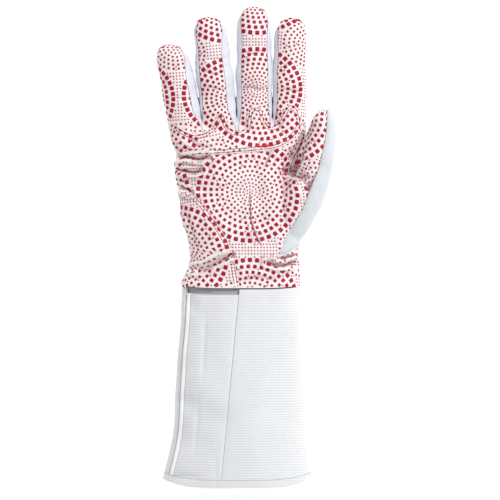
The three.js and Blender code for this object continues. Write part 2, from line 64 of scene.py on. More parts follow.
# Sizes in millimetres, as in the CAD part: y runs from the wrist seam at 0 to the fingertips,
# x to the thumb side, z up from the floor. toFrame moves them into the part's frame, in metres.
hand = {"length": 210, "palmLength": 121, "width": 104, "depth": 27, "cup": 2.5, "squareness": 2.35,
        "fingerWidth": 26, "fingerDepth": 20, "fingerSquareness": 2.15, "tipRise": 6,
        "fingerRoot": 16, "thumbWidth": 34.6, "thumbTip": 20, "wristBow": 2.2}
# the wrist's edges as shares of the width, its top as a share of the depth, its middle line as a share of
# that height, and how far the section goes below the middle line as a share of the line's height
wrist = {"left": -0.461, "right": 0.402, "top": 1.37, "middle": 0.46, "under": 1.12}
walls = {"palm": 1.4, "back": 2.6, "side": 1.6, "cuff": 1.8, "seamGap": 0.3}
cuff = {"length": 151, "mouthWidth": 112, "mouthLeft": 0.55, "mouthRight": 0.45, "mouthDepth": 54,
        "mouthMiddle": 0.48, "mouthBow": 6.5, "hem": 6,
        "slitInset": 3.6, "slitGroove": 1.2, "binding": 2.4, "underlap": 9, "bandShowing": 5,
        "wristJoint": 1, "rib": 0.27}

# at, left, right, top, under: shares of the palm's length, width and depth
palmRows = [
    (-0.1, -0.461, 0.402, 1.37, 1.12), (0.0, -0.461, 0.402, 1.37, 1.12), (0.06, -0.445, 0.405, 1.33, 1.12),
    (0.12, -0.415, 0.41, 1.28, 1.12), (0.18, -0.397, 0.402, 1.25, 1.12), (0.25, -0.402, 0.4, 1.24, 1.12),
    (0.33, -0.42, 0.404, 1.24, 1.12), (0.42, -0.452, 0.414, 1.22, 1.12), (0.51, -0.468, 0.423, 1.19, 1.12),
    (0.6, -0.484, 0.431, 1.15, 1.12), (0.69, -0.505, 0.436, 1.11, 1.12), (0.77, -0.515, 0.44, 1.06, 1.12),
    (0.85, -0.517, 0.443, 1.0, 1.12), (0.93, -0.54, 0.447, 0.92, 1.12), (1.0, -0.55, 0.448, 0.82, 1.12),
    (1.045, -0.52, 0.42, 0.66, 0.55), (1.08, -0.49, 0.38, 0.42, 0.5), (1.2, -0.47, 0.36, 0.3, 0.5),
]
# root, tip: shares of the width; reach: share of the length; width: share of the finger width;
# lowSide, highSide: how wide the side strip shows from above on each side, in millimetres
fingers = {
    "little": {"root": -0.398, "tip": -0.548, "reach": 0.883, "width": 1.02, "lowSide": 0, "highSide": 5.6},
    "ring": {"root": -0.17, "tip": -0.263, "reach": 0.981, "width": 1.03, "lowSide": 2.0, "highSide": 5.6},
    "middle": {"root": 0.072, "tip": 0.065, "reach": 1.021, "width": 1.0, "lowSide": 3.0, "highSide": 2.5},
    "index": {"root": 0.326, "tip": 0.336, "reach": 0.981, "width": 0.97, "lowSide": 2.5, "highSide": 0},
}
# at, width, depth along a finger
girthRows = [(0, 0.94, 1.08), (0.24, 1.03, 1.04), (0.42, 0.99, 0.98), (0.62, 1.0, 1.0), (0.82, 0.95, 0.95),
             (1, 0.93, 0.92)]
# across, along, up, girth along the thumb
thumbRows = [(0.25, 0.29, 0.56, 0.55), (0.338, 0.4, 0.6, 0.76), (0.404, 0.54, 0.66, 0.94),
             (0.472, 0.71, 0.78, 0.9), (0.538, 0.88, 0.93, 0.75), (0.598, 1.138, 1.1, 0.46)]
# share of the cuff's length, share of its flare
flareRows = [(0, 0), (0.18, 0.1), (0.36, 0.26), (0.55, 0.38), (0.73, 0.5), (0.86, 0.74), (0.94, 0.93),
             (1, 1.06)]

# Seam lines seen from above, as shares of the palm's width and length
thumbBackSeam = [
    (0.6, 1.6), (0.6, 1.13), (0.594, 0.99), (0.57, 0.866), (0.534, 0.741), (0.49, 0.647), (0.453, 0.565),
    (0.412, 0.479), (0.36, 0.404), (0.309, 0.332), (0.27, 0.254), (0.252, 0.222), (0.266, 0.207),
    (0.3, 0.216), (0.341, 0.232), (0.38, 0.256), (0.43, 0.295), (0.5, 0.34), (0.8, 0.34), (1.5, 0.34),
]
crookSeam = [
    (0.456, 1.8), (0.456, 1.03), (0.424, 0.973), (0.373, 0.866), (0.325, 0.773), (0.321, 0.722),
    (0.385, 0.69), (0.455, 0.65), (0.54, 0.61), (1.5, 0.61),
]
thumbUnderSeam = [(0.458, 1.8), (0.458, 1.0), (0.44, 0.6), (0.4, 0.24), (1.5, 0.24)]
yokeOutline = [
    (-0.621, 1.049), (-0.541, 1.043), (-0.49, 1.014), (-0.424, 0.98), (-0.358, 0.964), (-0.292, 0.98),
    (-0.241, 1.014), (-0.208, 1.068), (-0.19, 1.096), (-0.168, 1.102), (-0.146, 1.08), (-0.128, 1.03),
    (-0.088, 0.992), (-0.037, 0.986), (0.004, 1.011), (0.015, 1.068), (0.026, 1.115), (0.058, 1.137),
    (0.102, 1.137), (0.135, 1.112), (0.143, 1.061), (0.168, 1.027), (0.212, 1.021), (0.248, 1.049),
    (0.274, 1.099), (0.3, 1.137), (0.336, 1.153), (0.373, 1.137), (0.398, 1.093), (0.409, 1.043),
    (0.395, 0.986), (0.343, 0.933), (0.292, 0.898), (0.205, 0.87), (0.037, 0.854), (-0.19, 0.839),
    (-0.365, 0.832), (-0.504, 0.835), (-0.621, 0.854),
]
heelSeam = [(-0.7, 0.66), (-0.5, 0.645), (-0.38, 0.59), (-0.28, 0.5), (-0.2, 0.4), (-0.125, 0.29),
            (-0.085, 0.2), (-0.06, 0.09), (-0.035, -0.02)]

# Folds: x and y of the middle as shares, turn in degrees from straight across, then length, width and
# depth in millimetres; a negative depth is a ridge.
handFolds = [
    (0.115, 0.54, 97, 62, 6, 1.6), (0.19, 0.84, 118, 30, 5, 1.6), (-0.47, 0.86, 12, 34, 3.4, 2.6),
    (-0.46, 0.76, -6, 40, 3.6, 2.2), (-0.44, 0.65, -14, 34, 3.6, 1.6), (-0.26, 0.125, 27, 33, 4.2, 3.2),
    (0.34, 0.165, -18, 26, 3.4, 3.6), (0.06, 0.06, 4, 60, 5, 1.2), (0.31, 0.74, 76, 36, 5, 3.0),
    (0.24, 0.36, 60, 44, 12, -2.0), (-0.27, 0.34, 110, 46, 13, -2.0),
]
cuffFolds = [
    (-0.31, 0.3, 88, 100, 8, 1.2), (-0.23, 0.66, 3, 30, 9, 1.6), (-0.4, 0.77, -8, 30, 9, 2.2),
    (0.3, 0.45, 84, 90, 16, 1.4), (0.02, 0.8, 94, 60, 20, -1.6), (-0.453, 0.574, 20, 16, 6, 3.0),
    (-0.31, 0.49, 60, 26, 9, -1.6), (-0.33, 0.302, 90, 45, 1.6, 0.9), (-0.364, 0.684, 91, 44, 1.6, 0.8),
    (-0.49, 0.05, 60, 26, 5, 3.2), (-0.44, 0.947, 0, 26, 3, 1.8), (-0.2, 0.93, 84, 26, 1.6, 0.6),
]


# Tables, curves and fields

def smoothTable(rows, at, column):
    table = np.array(rows, float)
    xs, ys = table[:, 0], table[:, column]
    slopes = np.gradient(ys, xs)
    at = np.clip(np.asarray(at, float), xs[0], xs[-1])
    i = np.clip(np.searchsorted(xs, at, side="right") - 1, 0, len(xs) - 2)
    step = xs[i + 1] - xs[i]
    t = (at - xs[i]) / step
    a = (2 * t**3 - 3 * t**2 + 1) * ys[i] + (t**3 - 2 * t**2 + t) * step * slopes[i]
    return a + (-2 * t**3 + 3 * t**2) * ys[i + 1] + (t**3 - t**2) * step * slopes[i + 1]


def signedPower(value, power):
    return np.sign(value) * np.abs(value) ** power


# How far across and up a squarish ring is at an angle, each from -1 to 1.
def squarish(angle, squareness):
    return [signedPower(part, 2 / squareness) for part in (np.cos(angle), np.sin(angle))]


def curveThrough(points, perSpan):
    line = np.array(points, float)
    padded = np.vstack([2 * line[0] - line[1], line, 2 * line[-1] - line[-2]])
    out = []
    for i in range(len(line) - 1):
        a, b, c, d = padded[i:i + 4]
        t = np.linspace(0, 1, perSpan, endpoint=False)[:, None]
        out.append(0.5 * (2 * b + (c - a) * t + (2 * a - 5 * b + 4 * c - d) * t**2
                          + (3 * b - a - 3 * c + d) * t**3))
    return np.vstack(out + [line[-1:]])


def onHand(line, perSpan=8):
    return curveThrough(line, perSpan) * [hand["width"], hand["palmLength"]]


def closedOnHand(line, perSpan=8):
    ring = [line[-1], *line, *line[:3]]
    return onHand(ring, perSpan)[perSpan:-2 * perSpan]


# Signed distance to an open line seen from above, positive on its left as it runs.
def lineField(line, x, y):
    points = np.stack([np.ravel(x), np.ravel(y)], 1)
    best = np.full(len(points), 1e9)
    signed = np.full(len(points), 1e9)
    for a, b in zip(line[:-1], line[1:]):
        edge = b - a
        length = max(edge @ edge, 1e-9)
        t = np.clip(((points - a) @ edge) / length, 0, 1)
        away = points - a - t[:, None] * edge
        distance = np.hypot(away[:, 0], away[:, 1])
        side = edge[0] * away[:, 1] - edge[1] * away[:, 0]
        closer = distance < best
        best[closer] = distance[closer]
        signed[closer] = np.where(side[closer] >= 0, distance[closer], -distance[closer])
    return signed.reshape(np.shape(x))


# Signed distance to a closed outline seen from above, positive inside.
def outlineField(ring, x, y):
    shape = np.shape(x)
    px, py = np.ravel(x), np.ravel(y)
    best = np.full(len(px), 1e9)
    inside = np.zeros(len(px), bool)
    for i in range(len(ring)):
        a, b = ring[i - 1], ring[i]
        edge = b - a
        length = max(edge @ edge, 1e-9)
        t = np.clip(((px - a[0]) * edge[0] + (py - a[1]) * edge[1]) / length, 0, 1)
        best = np.minimum(best, np.hypot(px - a[0] - t * edge[0], py - a[1] - t * edge[1]))
        crosses = (a[1] > py) != (b[1] > py)
        reach = a[0] + (py - a[1]) * edge[0] / (edge[1] if abs(edge[1]) > 1e-9 else 1e-9)
        inside ^= crosses & (px < reach)
    return np.where(inside, best, -best).reshape(shape)


def foldDepth(folds, x, y, width, length):
    depth = np.zeros(np.shape(x))
    for fx, fy, turn, reach, half, deep in folds:
        angle = math.radians(turn)
        dx, dy = x - fx * width, y - fy * length
        along = (dx * math.cos(angle) + dy * math.sin(angle)) / (reach / 2)
        across = (dy * math.cos(angle) - dx * math.sin(angle)) / half
        depth = depth + deep * np.exp(-across**2 - along**4)
    return depth


# Smooth noise from a few seeded waves, about -1 to 1.
def waveNoise(points, size, seed, waves=14):
    rng = np.random.default_rng(seed)
    total = np.zeros(len(points))
    for _ in range(waves):
        direction = rng.normal(size=3)
        direction /= np.linalg.norm(direction)
        turns = 2 * math.pi / (size * rng.uniform(0.7, 1.5))
        total += np.sin(points @ direction * turns + rng.uniform(0, 6.28))
    return total / math.sqrt(waves)


fingerStart = hand["palmLength"] - hand["fingerRoot"]


def fingerMid(y):
    along = np.clip((y - fingerStart) / (hand["length"] - fingerStart), 0, 1)
    return hand["fingerDepth"] * 0.56 + hand["tipRise"] * along**1.5


def handMid(y):
    along = np.clip(y / fingerStart, 0, 1)
    return hand["depth"] * wrist["top"] * wrist["middle"] * (1 - along) + fingerMid(y) * along


def fingerCentre(finger, y):
    along = (y - fingerStart) / (finger["reach"] * hand["length"] - fingerStart)
    return hand["width"] * (finger["root"] + (finger["tip"] - finger["root"]) * along)


# Mesh making

hemLow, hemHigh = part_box("cuff_hem")
palmLow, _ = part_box("palm_front")


def cuffSide(at):
    flare = smoothTable(flareRows, at, 1)
    left = wrist["left"] * hand["width"] * (1 - flare) - cuff["mouthLeft"] * cuff["mouthWidth"] * flare
    right = wrist["right"] * hand["width"] * (1 - flare) + cuff["mouthRight"] * cuff["mouthWidth"] * flare
    return left, right


mouthLeft, mouthRight = cuffSide(1.0)
shift = np.array([(hemLow[0] + hemHigh[0]) / 2 - (mouthLeft + mouthRight) / 2000, palmLow[1], 0.0])


def toFrame(points):
    return np.asarray(points, float) * 0.001 + shift


def addObject(name, data):
    piece = bpy.data.objects.new(name, data)
    bpy.context.scene.collection.objects.link(piece)
    return piece


def makeObject(name, vertices, faces, material=None):
    mesh = bpy.data.meshes.new(name)
    mesh.from_pydata(toFrame(vertices).tolist(), [], [tuple(int(i) for i in face) for face in faces])
    mesh.validate()
    mesh.polygons.foreach_set("use_smooth", [True] * len(mesh.polygons))
    if material:
        mesh.materials.append(material)
    return addObject(name, mesh)


def gridFaces(rows, columns, closed, flip=False):
    r = np.arange(rows - 1)[:, None]
    c = np.arange(columns if closed else columns - 1)[None, :]
    a = r * columns + c
    b = r * columns + (c + 1) % columns
    quads = np.stack([a, b, b + columns, a + columns], -1).reshape(-1, 4)
    return quads[:, ::-1] if flip else quads


# A closed tube through rings that run anticlockwise seen from -y, as (rows, sides, 3).
def tubeMesh(rings):
    rows, sides = rings.shape[:2]
    faces = [tuple(face) for face in gridFaces(rows, sides, True, flip=True)]
    faces.append(tuple(range(sides)))
    faces.append(tuple(range(rows * sides - 1, (rows - 1) * sides - 1, -1)))
    return rings.reshape(-1, 3), faces


def palmRings():
    at = np.linspace(-0.1, 1.2, 104)
    angle = np.linspace(0, 2 * math.pi, 120, endpoint=False)
    across, rise = squarish(angle[None, :], hand["squareness"])
    y = (at * hand["palmLength"])[:, None]
    left, right, top, under = [smoothTable(palmRows, at, column)[:, None] for column in (1, 2, 3, 4)]
    half = (right - left) * hand["width"] / 2
    middle = (right + left) * hand["width"] / 2
    mid = np.minimum(handMid(y), top * hand["depth"] * 0.6)
    up = np.where(rise > 0, top * hand["depth"] - mid, mid * under)
    cup = hand["cup"] * np.sin(np.pi * np.clip((at - 0.15) / 0.75, 0, 1))[:, None]
    bow = hand["wristBow"] * np.clip(1 - np.abs(at) / 0.15, 0, 1)[:, None]
    z = mid + up * rise - np.clip(rise, 0, 1) * cup * (1 - across**2) ** 2
    return np.stack([middle + half * across, y + bow * across**4, np.maximum(z, 0)], -1)


# The line midway between two neighbouring fingers' sides, seen from above.
def betweenFingers(low, high, y):
    widths = hand["fingerWidth"] * 0.5 * (fingers[low]["width"] - fingers[high]["width"])
    return (fingerCentre(fingers[low], y) + fingerCentre(fingers[high], y) + widths) / 2


# The slots between the fingers: half their width, how far each side closes them, and where they start
slots = {"half": 1.05, "narrowed": 0.72, "crotch": {"little": 124.5, "ring": 128.5, "middle": 121.0}}


def fingerHalf(finger, y):
    tipY = finger["reach"] * hand["length"]
    radius = hand["fingerWidth"] * finger["width"] / 2
    girth = smoothTable(girthRows, (y - fingerStart) / (tipY - radius - fingerStart), 1)
    rounding = np.clip((y - tipY + radius) / radius, 0, 1)
    return radius * girth * np.sqrt(1 - rounding**2)


# The edge of a side strip seen from above; side is -1 or 1.
def stripEdge(finger, side, y):
    tipY = finger["reach"] * hand["length"]
    wide = finger["lowSide"] if side < 0 else finger["highSide"]
    fade = np.sqrt(np.clip((tipY - 3 - y) / 26, 0, 1)) * np.clip(0.3 + (y - 122) / 18, 0.3, 1)
    return fingerCentre(finger, y) + side * (fingerHalf(finger, y) - wide * fade)


def fingerRings(name):
    finger = fingers[name]
    tipY = finger["reach"] * hand["length"]
    radius = hand["fingerWidth"] * finger["width"] / 2
    straight = tipY - radius - fingerStart
    at = np.linspace(0, 1, 40)
    turn = np.radians(np.linspace(4, 88, 18))
    y = np.concatenate([fingerStart + at * straight, tipY - radius + radius * np.sin(turn)])
    squeeze = np.concatenate([np.ones(40), np.cos(turn)])
    girthAt = np.concatenate([at, np.ones(18)])
    width = smoothTable(girthRows, girthAt, 1) * squeeze * hand["fingerWidth"] * finger["width"] / 2
    depth = smoothTable(girthRows, girthAt, 2) * squeeze * hand["fingerDepth"] / 2
    angle = np.linspace(0, 2 * math.pi, 48, endpoint=False)
    across, rise = squarish(angle[None, :], hand["fingerSquareness"])
    x = fingerCentre(finger, y)[:, None] + width[:, None] * across
    z = fingerMid(y)[:, None] + depth[:, None] * rise
    order = list(fingers)
    place = order.index(name)
    if place > 0:
        edge = betweenFingers(order[place - 1], name, y) + slots["half"]
        x = np.maximum(x, np.where(y > slots["crotch"][order[place - 1]] - 12, edge, -400)[:, None])
    if place < 3:
        edge = betweenFingers(name, order[place + 1], y) - slots["half"]
        x = np.minimum(x, np.where(y > slots["crotch"][name] - 12, edge, 400)[:, None])
    return np.stack([x, np.broadcast_to(y[:, None], x.shape), np.maximum(z, 0)], -1)


def thumbPath():
    rows = np.array(thumbRows) * [hand["width"], hand["palmLength"], hand["depth"], hand["thumbWidth"] / 2]
    dense = curveThrough(rows, 40)
    along = np.concatenate([[0], np.cumsum(np.linalg.norm(np.diff(dense[:, :3], axis=0), axis=1))])
    return dense, along


def thumbRings():
    dense, along = thumbPath()
    total = along[-1]
    straight = total - hand["thumbTip"]
    turn = np.radians(np.linspace(4, 88, 18))
    place = np.concatenate([np.linspace(0, straight, 44), straight + hand["thumbTip"] * np.sin(turn)])
    squeeze = np.concatenate([np.ones(44), np.cos(turn)])

    def onPath(where):
        return np.stack([np.interp(where, along, dense[:, i]) for i in range(3)], 1)

    centre = onPath(place)
    radius = np.interp(place, along, dense[:, 3]) * squeeze
    forward = onPath(np.minimum(place + 1, total)) - onPath(np.minimum(place, total - 1) - 1)
    forward /= np.linalg.norm(forward, axis=1, keepdims=True)
    side = -np.cross([0, 0, 1.0], forward)
    side /= np.linalg.norm(side, axis=1, keepdims=True)
    up = np.cross(side, forward)
    angle = np.linspace(0, 2 * math.pi, 52, endpoint=False)
    spokes = np.cos(angle)[None, :, None] * side[:, None, :] + np.sin(angle)[None, :, None] * up[:, None, :]
    ring = centre[:, None, :] + radius[:, None, None] * spokes
    ring[..., 2] = np.maximum(ring[..., 2], 0.1)
    return ring


def evaluated(piece, name):
    graph = bpy.context.evaluated_depsgraph_get()
    mesh = bpy.data.meshes.new_from_object(piece.evaluated_get(graph))
    mesh.name = name
    return mesh


def meshArrays(mesh):
    points = np.empty(len(mesh.vertices) * 3)
    mesh.vertices.foreach_get("co", points)
    points = (points.reshape(-1, 3) - shift) * 1000
    normals = np.empty(len(mesh.vertices) * 3)
    mesh.vertex_normals.foreach_get("vector", normals)
    return points, normals.reshape(-1, 3)


def setPoints(mesh, points):
    mesh.vertices.foreach_set("co", toFrame(points).ravel())
    mesh.update()


# The whole hand as one closed skin: tubes fused at a voxel size, then smoothed.
def fusedHand(name, voxel, smoothing):
    vertices, faces = [], []
    for rings in [palmRings(), *[fingerRings(finger) for finger in fingers], thumbRings()]:
        points, quads = tubeMesh(rings)
        faces += [tuple(i + len(vertices) for i in face) for face in quads]
        vertices += points.tolist()
    source = makeObject(name + "_tubes", vertices, faces)
    remesh = source.modifiers.new("fuse", "REMESH")
    remesh.mode = "VOXEL"
    remesh.voxel_size = voxel * 0.001
    soften = source.modifiers.new("soften", "SMOOTH")
    soften.factor = 0.5
    soften.iterations = smoothing
    mesh = evaluated(source, name)
    bpy.data.objects.remove(source)
    return addObject(name, mesh)


thumbBackLine = onHand(thumbBackSeam)
crookLine = onHand(crookSeam)
thumbUnderLine = onHand(thumbUnderSeam)
yokeRing = closedOnHand(yokeOutline)
heelLine = onHand(heelSeam)


# A seam's groove with a soft swell on either side of it
def groove(distance, depth, width, puff):
    swell = puff * np.exp(-((np.abs(distance) - 3.2 * width) / (2.2 * width)) ** 2)
    return -depth * np.exp(-(distance / width) ** 2) + swell


# Sharp creases over the palm, each a line in shares of the palm with its depth and half width
palmCreases = [
    ([(-0.52, 0.82), (-0.426, 0.825), (-0.343, 0.812), (-0.27, 0.825)], 2.3, 1.4),
    ([(-0.52, 0.741), (-0.438, 0.733), (-0.38, 0.727), (-0.32, 0.741)], 2.3, 1.3),
    ([(-0.5, 0.63), (-0.431, 0.616), (-0.387, 0.597)], 2.0, 1.2),
    ([(0.035, 0.6), (0.036, 0.506), (0.042, 0.43), (0.06, 0.37), (0.085, 0.315), (0.12, 0.262)], 0.75, 0.7),
    ([(0.19, 0.854), (0.168, 0.804), (0.13, 0.75)], 0.6, 1.0),
    ([(-0.38, 0.113), (-0.292, 0.126), (-0.207, 0.165), (-0.124, 0.197), (-0.1, 0.205)], 2.8, 1.9),
    ([(0.168, 0.157), (0.268, 0.144), (0.341, 0.157), (0.41, 0.176)], 2.6, 1.6),
    ([(0.241, 0.18), (0.32, 0.195), (0.41, 0.215)], 2.0, 1.2),
    ([(0.278, 0.725), (0.341, 0.762), (0.402, 0.817)], 1.8, 2.0),
    ([(0.365, 0.71), (0.451, 0.691)], 1.4, 1.5),
    ([(0.343, 0.867), (0.373, 0.804)], 1.2, 1.4),
    ([(-0.43, 0.955), (-0.36, 0.9), (-0.25, 0.885)], 0.7, 1.4),
    ([(-0.49, 0.44), (-0.44, 0.36), (-0.42, 0.24)], 0.9, 1.5),
    ([(-0.44, 0.5), (-0.39, 0.4), (-0.35, 0.27)], 0.6, 1.6),
    ([(-0.05, 0.05), (0.1, 0.07), (0.26, 0.05)], 0.6, 2.0),
]


def creaseRelief(creaseTable, x, y):
    move = np.zeros(np.shape(x))
    for points, depth, half in creaseTable:
        line = onHand(points, 6)
        low, high = line.min(axis=0) - 12, line.max(axis=0) + 12
        near = (x > low[0]) & (x < high[0]) & (y > low[1]) & (y < high[1])
        if not near.any():
            continue
        nx, ny = x[near], y[near]
        away = lineField(line, nx, ny)
        ends = np.minimum(*[np.hypot(nx - end[0], ny - end[1]) for end in (line[0], line[-1])])
        onLine = np.clip((6 - np.abs(away)) / 2, 0, 1)
        depth = depth * np.clip(ends / 5, 0, 1) ** 0.7 * onLine
        valley = -depth * np.exp(-(away / half) ** 2)
        ridge = 0.45 * depth * np.exp(-((np.abs(away) - 2.7 * half) / (1.7 * half)) ** 2)
        move[near] += valley + ridge
    return move


puckers = {"seamDepth": 0.8, "seamWidth": 1.1, "puff": 0.35, "wrinkle": 0.45, "fineWrinkle": 0.11,
           "crook": 4.8, "crease": 1.9}


# How far the skin moves out along its normal: folds, seam grooves, finger creases and wrinkles.
def skinRelief(points, normals):
    x, y, z = points.T
    up = np.clip(normals[:, 2], 0, 1)
    folds = foldDepth(handFolds, x, y, hand["width"], hand["palmLength"])
    move = -folds * up * (y < hand["palmLength"] * 1.04)
    deep, wide, puff = puckers["seamDepth"], puckers["seamWidth"], puckers["puff"]
    sideways = np.sqrt(np.clip(1 - normals[:, 2] ** 2, 0, 1))
    move += groove(z - handMid(y), deep, wide, puff) * sideways
    thumb = lineField(thumbBackLine, x, y)
    move += groove(thumb, deep, wide, puff) * np.clip(normals[:, 2] * 3, 0, 1) * (y < 150)
    crook = lineField(crookLine, x, y)
    inCrook = (thumb < 0) * (y < 125) * np.clip(normals[:, 2] * 2.5, 0, 1)
    move += groove(crook, deep * 1.3, wide, puff) * inCrook
    alongCrook = np.clip((y - 66) / 10, 0, 1) * np.clip((122 - y) / 26, 0.3, 1)
    move -= puckers["crook"] * np.exp(-((crook - 1.5) / 6.0) ** 2) * inCrook * alongCrook
    onPalm = up * (y < hand["palmLength"] * 1.02) * (thumb < 0)
    move += puckers["crease"] * creaseRelief(palmCreases, x, y) * onPalm
    heel = lineField(heelLine, x, y)
    move += groove(heel, deep * 0.7, wide * 1.3, puff) * up * (y > 0)
    # creases across the fingers, as shares of the free finger's length
    for name, finger in fingers.items():
        tipY = finger["reach"] * hand["length"]
        near = np.exp(-((x - fingerCentre(finger, y)) / 9) ** 4) * (y > hand["palmLength"])
        for share, depth in creases[name]:
            at = hand["palmLength"] + share * (tipY - hand["palmLength"])
            wobble = 0.9 * np.sin((x - fingerCentre(finger, y)) * 0.35 + share * 9)
            move += -depth * np.exp(-((y - at - wobble) / 1.5) ** 2) * near * up
            move += depth * 0.45 * np.exp(-((y - at - wobble + 3.6) / 2.4) ** 2) * near * up
    move += puckers["wrinkle"] * waveNoise(points, 22, 3)
    move += puckers["fineWrinkle"] * waveNoise(points * [1, 1.6, 1], 7.5, 5)
    return move


creases = {
    "little": [(0.36, 0.7), (0.62, 0.5)],
    "ring": [(0.2, 0.7), (0.36, 1.0), (0.5, 0.8), (0.63, 0.5)],
    "middle": [(0.18, 0.4), (0.33, 1.1), (0.62, 1.1), (0.68, 0.4)],
    "index": [(0.34, 0.7), (0.58, 0.6)],
}


# The padded back and thumb swell between their seams: a cloth simulation on a coarse copy of the hand, held
# still wherever the skin is leather. Voxel, longest move and seam margin in millimetres.
stuffing = {"voxel": 4.5, "pressure": 4.0, "frames": 20, "most": 1.3, "seam": 3.0}


def paddingMove(piece, points):
    coarse = addObject("stuffing", piece.data.copy())
    remesh = coarse.modifiers.new("coarse", "REMESH")
    remesh.mode = "VOXEL"
    remesh.voxel_size = stuffing["voxel"] * 0.001
    coarse.data = evaluated(coarse, "stuffing")
    coarse.modifiers.remove(remesh)
    start, _ = meshArrays(coarse.data)
    thumb = lineField(thumbBackLine, start[:, 0], start[:, 1])
    onLeather = (start[:, 2] > handMid(start[:, 1]) - stuffing["seam"]) & (thumb < stuffing["seam"])
    seams = coarse.vertex_groups.new(name="seams")
    seams.add([int(i) for i in np.flatnonzero(onLeather)], 1.0, "REPLACE")
    cloth = coarse.modifiers.new("stuffing", "CLOTH")
    cloth.settings.use_pressure = True
    cloth.settings.uniform_pressure_force = stuffing["pressure"]
    cloth.settings.effector_weights.gravity = 0
    cloth.settings.vertex_group_mass = "seams"
    cloth.point_cache.frame_start = 1
    cloth.point_cache.frame_end = stuffing["frames"]
    for frame in range(1, stuffing["frames"] + 1):
        bpy.context.scene.frame_set(frame)
    after, _ = meshArrays(evaluated(coarse, "stuffed"))
    move = after - start
    length = np.linalg.norm(move, axis=1)
    print("stuffing", len(start), "most", round(float(length.max()), 2))
    move *= np.minimum(1, stuffing["most"] / np.maximum(length, 1e-6))[:, None]
    bpy.context.scene.frame_set(1)
    bpy.data.objects.remove(coarse)
    tree = KDTree(len(start))
    for i, point in enumerate(start):
        tree.insert(point, i)
    tree.balance()
    smooth = np.zeros((len(points), 3))
    for i, point in enumerate(points):
        near = tree.find_n(point, 4)
        share = [1 / (away + 0.5) for _, _, away in near]
        smooth[i] = sum(move[j] * part for (_, j, _), part in zip(near, share)) / sum(share)
    return smooth


def reliefHand(name, voxel, smoothing):
    piece = fusedHand(name, voxel, smoothing)
    points, normals = meshArrays(piece.data)
    points = points + paddingMove(piece, points)
    move = skinRelief(points, normals)
    points = points + normals * move[:, None]
    # the slots between the fingers close to a dark line, widest at the crotch
    order = list(fingers)
    for low, high in zip(order[:-1], order[1:]):
        crotch = slots["crotch"][low]
        away = points[:, 0] - betweenFingers(low, high, points[:, 1])
        close = slots["narrowed"] * np.clip(0.25 + (points[:, 1] - crotch) / 30, 0.25, 1)
        pull = close * np.exp(-((np.abs(away) - slots["half"]) / 3.5) ** 2) * (points[:, 1] > crotch)
        points[:, 0] -= np.sign(away) * np.minimum(pull, np.maximum(np.abs(away) - 0.12, 0))
    points[:, 2] = np.maximum(points[:, 2], 0.0)
    setPoints(piece.data, points)
    return piece


# Moves a closed skin in or out along its normals. It stays off the floor by the back's wall.
def offsetSkin(piece, name, palm, back, side, lift=0.0):
    mesh = piece.data.copy()
    mesh.name = name
    moved = addObject(name, mesh)
    points, normals = meshArrays(mesh)
    nz = normals[:, 2]
    wall = np.where(nz > 0, side + (palm - side) * nz**2, side + (back - side) * nz**2)
    points = points + normals * wall[:, None]
    points[:, 2] = np.maximum(points[:, 2], lift)
    setPoints(mesh, points)
    return moved


# A cutting prism: an outline seen from above, or one of (y, z) points run across the glove.
def prism(name, outline, low=-60, high=120, across=False):
    ring = np.asarray(outline, float)
    area = np.sum(ring[:, 0] * np.roll(ring[:, 1], -1) - np.roll(ring[:, 0], -1) * ring[:, 1])
    if area < 0:
        ring = ring[::-1]
    n = len(ring)
    vertices = [(end, a, b) if across else (a, b, end) for end in (low, high) for a, b in ring]
    faces = [tuple(range(n))[::-1], tuple(range(n, 2 * n))]
    faces += [(i, (i + 1) % n, n + (i + 1) % n, n + i) for i in range(n)]
    return makeObject(name, vertices, faces)


def crossPrism(name, outline):
    return prism(name, outline, -200, 200, across=True)


far = 400  # well outside the glove


def shifted(line, distance):
    tangent = np.gradient(line, axis=0)
    tangent /= np.maximum(np.linalg.norm(tangent, axis=1, keepdims=True), 1e-9)
    return line + np.stack([-tangent[:, 1], tangent[:, 0]], 1) * distance


def eastOf(line, gap):
    edge = shifted(line, -gap)
    return np.vstack([[far, edge[0][1]], edge, [far, edge[-1][1]]])


def cutPiece(name, source, steps):
    piece = addObject(name, source.data.copy())
    for how, tool in steps:
        modifier = piece.modifiers.new(tool.name, "BOOLEAN")
        modifier.operation = how
        modifier.solver = "MANIFOLD"
        modifier.object = tool
    cut = evaluated(piece, name)
    piece.modifiers.clear()
    piece.data = cut
    return piece


# Keeps the largest loose part, so that no sliver is left beside a panel.
def keepLargest(piece):
    work = bmesh.new()
    work.from_mesh(piece.data)
    seen, groups = set(), []
    for start in work.verts:
        if start in seen:
            continue
        group, front = [], [start]
        seen.add(start)
        while front:
            vertex = front.pop()
            group.append(vertex)
            for edge in vertex.link_edges:
                other = edge.other_vert(vertex)
                if other not in seen:
                    seen.add(other)
                    front.append(other)
        groups.append(group)
    groups.sort(key=len)
    for group in groups[:-1]:
        bmesh.ops.delete(work, geom=group, context="VERTS")
    work.to_mesh(piece.data)
    work.free()
    return piece


def finishPiece(piece, material, sharp=42):
    piece.data.materials.clear()
    piece.data.materials.append(material)
    piece.data.polygons.foreach_set("use_smooth", [True] * len(piece.data.polygons))
    piece.data.set_sharp_from_angle(angle=math.radians(sharp))
    piece.data.update()


# Materials

def setInputs(node, values):
    for key, value in values.items():
        node.inputs[key].default_value = value


def nodeMaterial(name, inputs):
    material = bpy.data.materials.new(name)
    material.use_nodes = True
    tree = material.node_tree
    shader = tree.nodes["Principled BSDF"]
    setInputs(shader, inputs)
    return material, tree, shader


def addNode(tree, kind, values=None, **settings):
    node = tree.nodes.new(kind)
    for key, value in settings.items():
        setattr(node, key, value)
    setInputs(node, values or {})
    return node


def link(tree, source, output, target, socket):
    tree.links.new(source.outputs[output], target.inputs[socket])


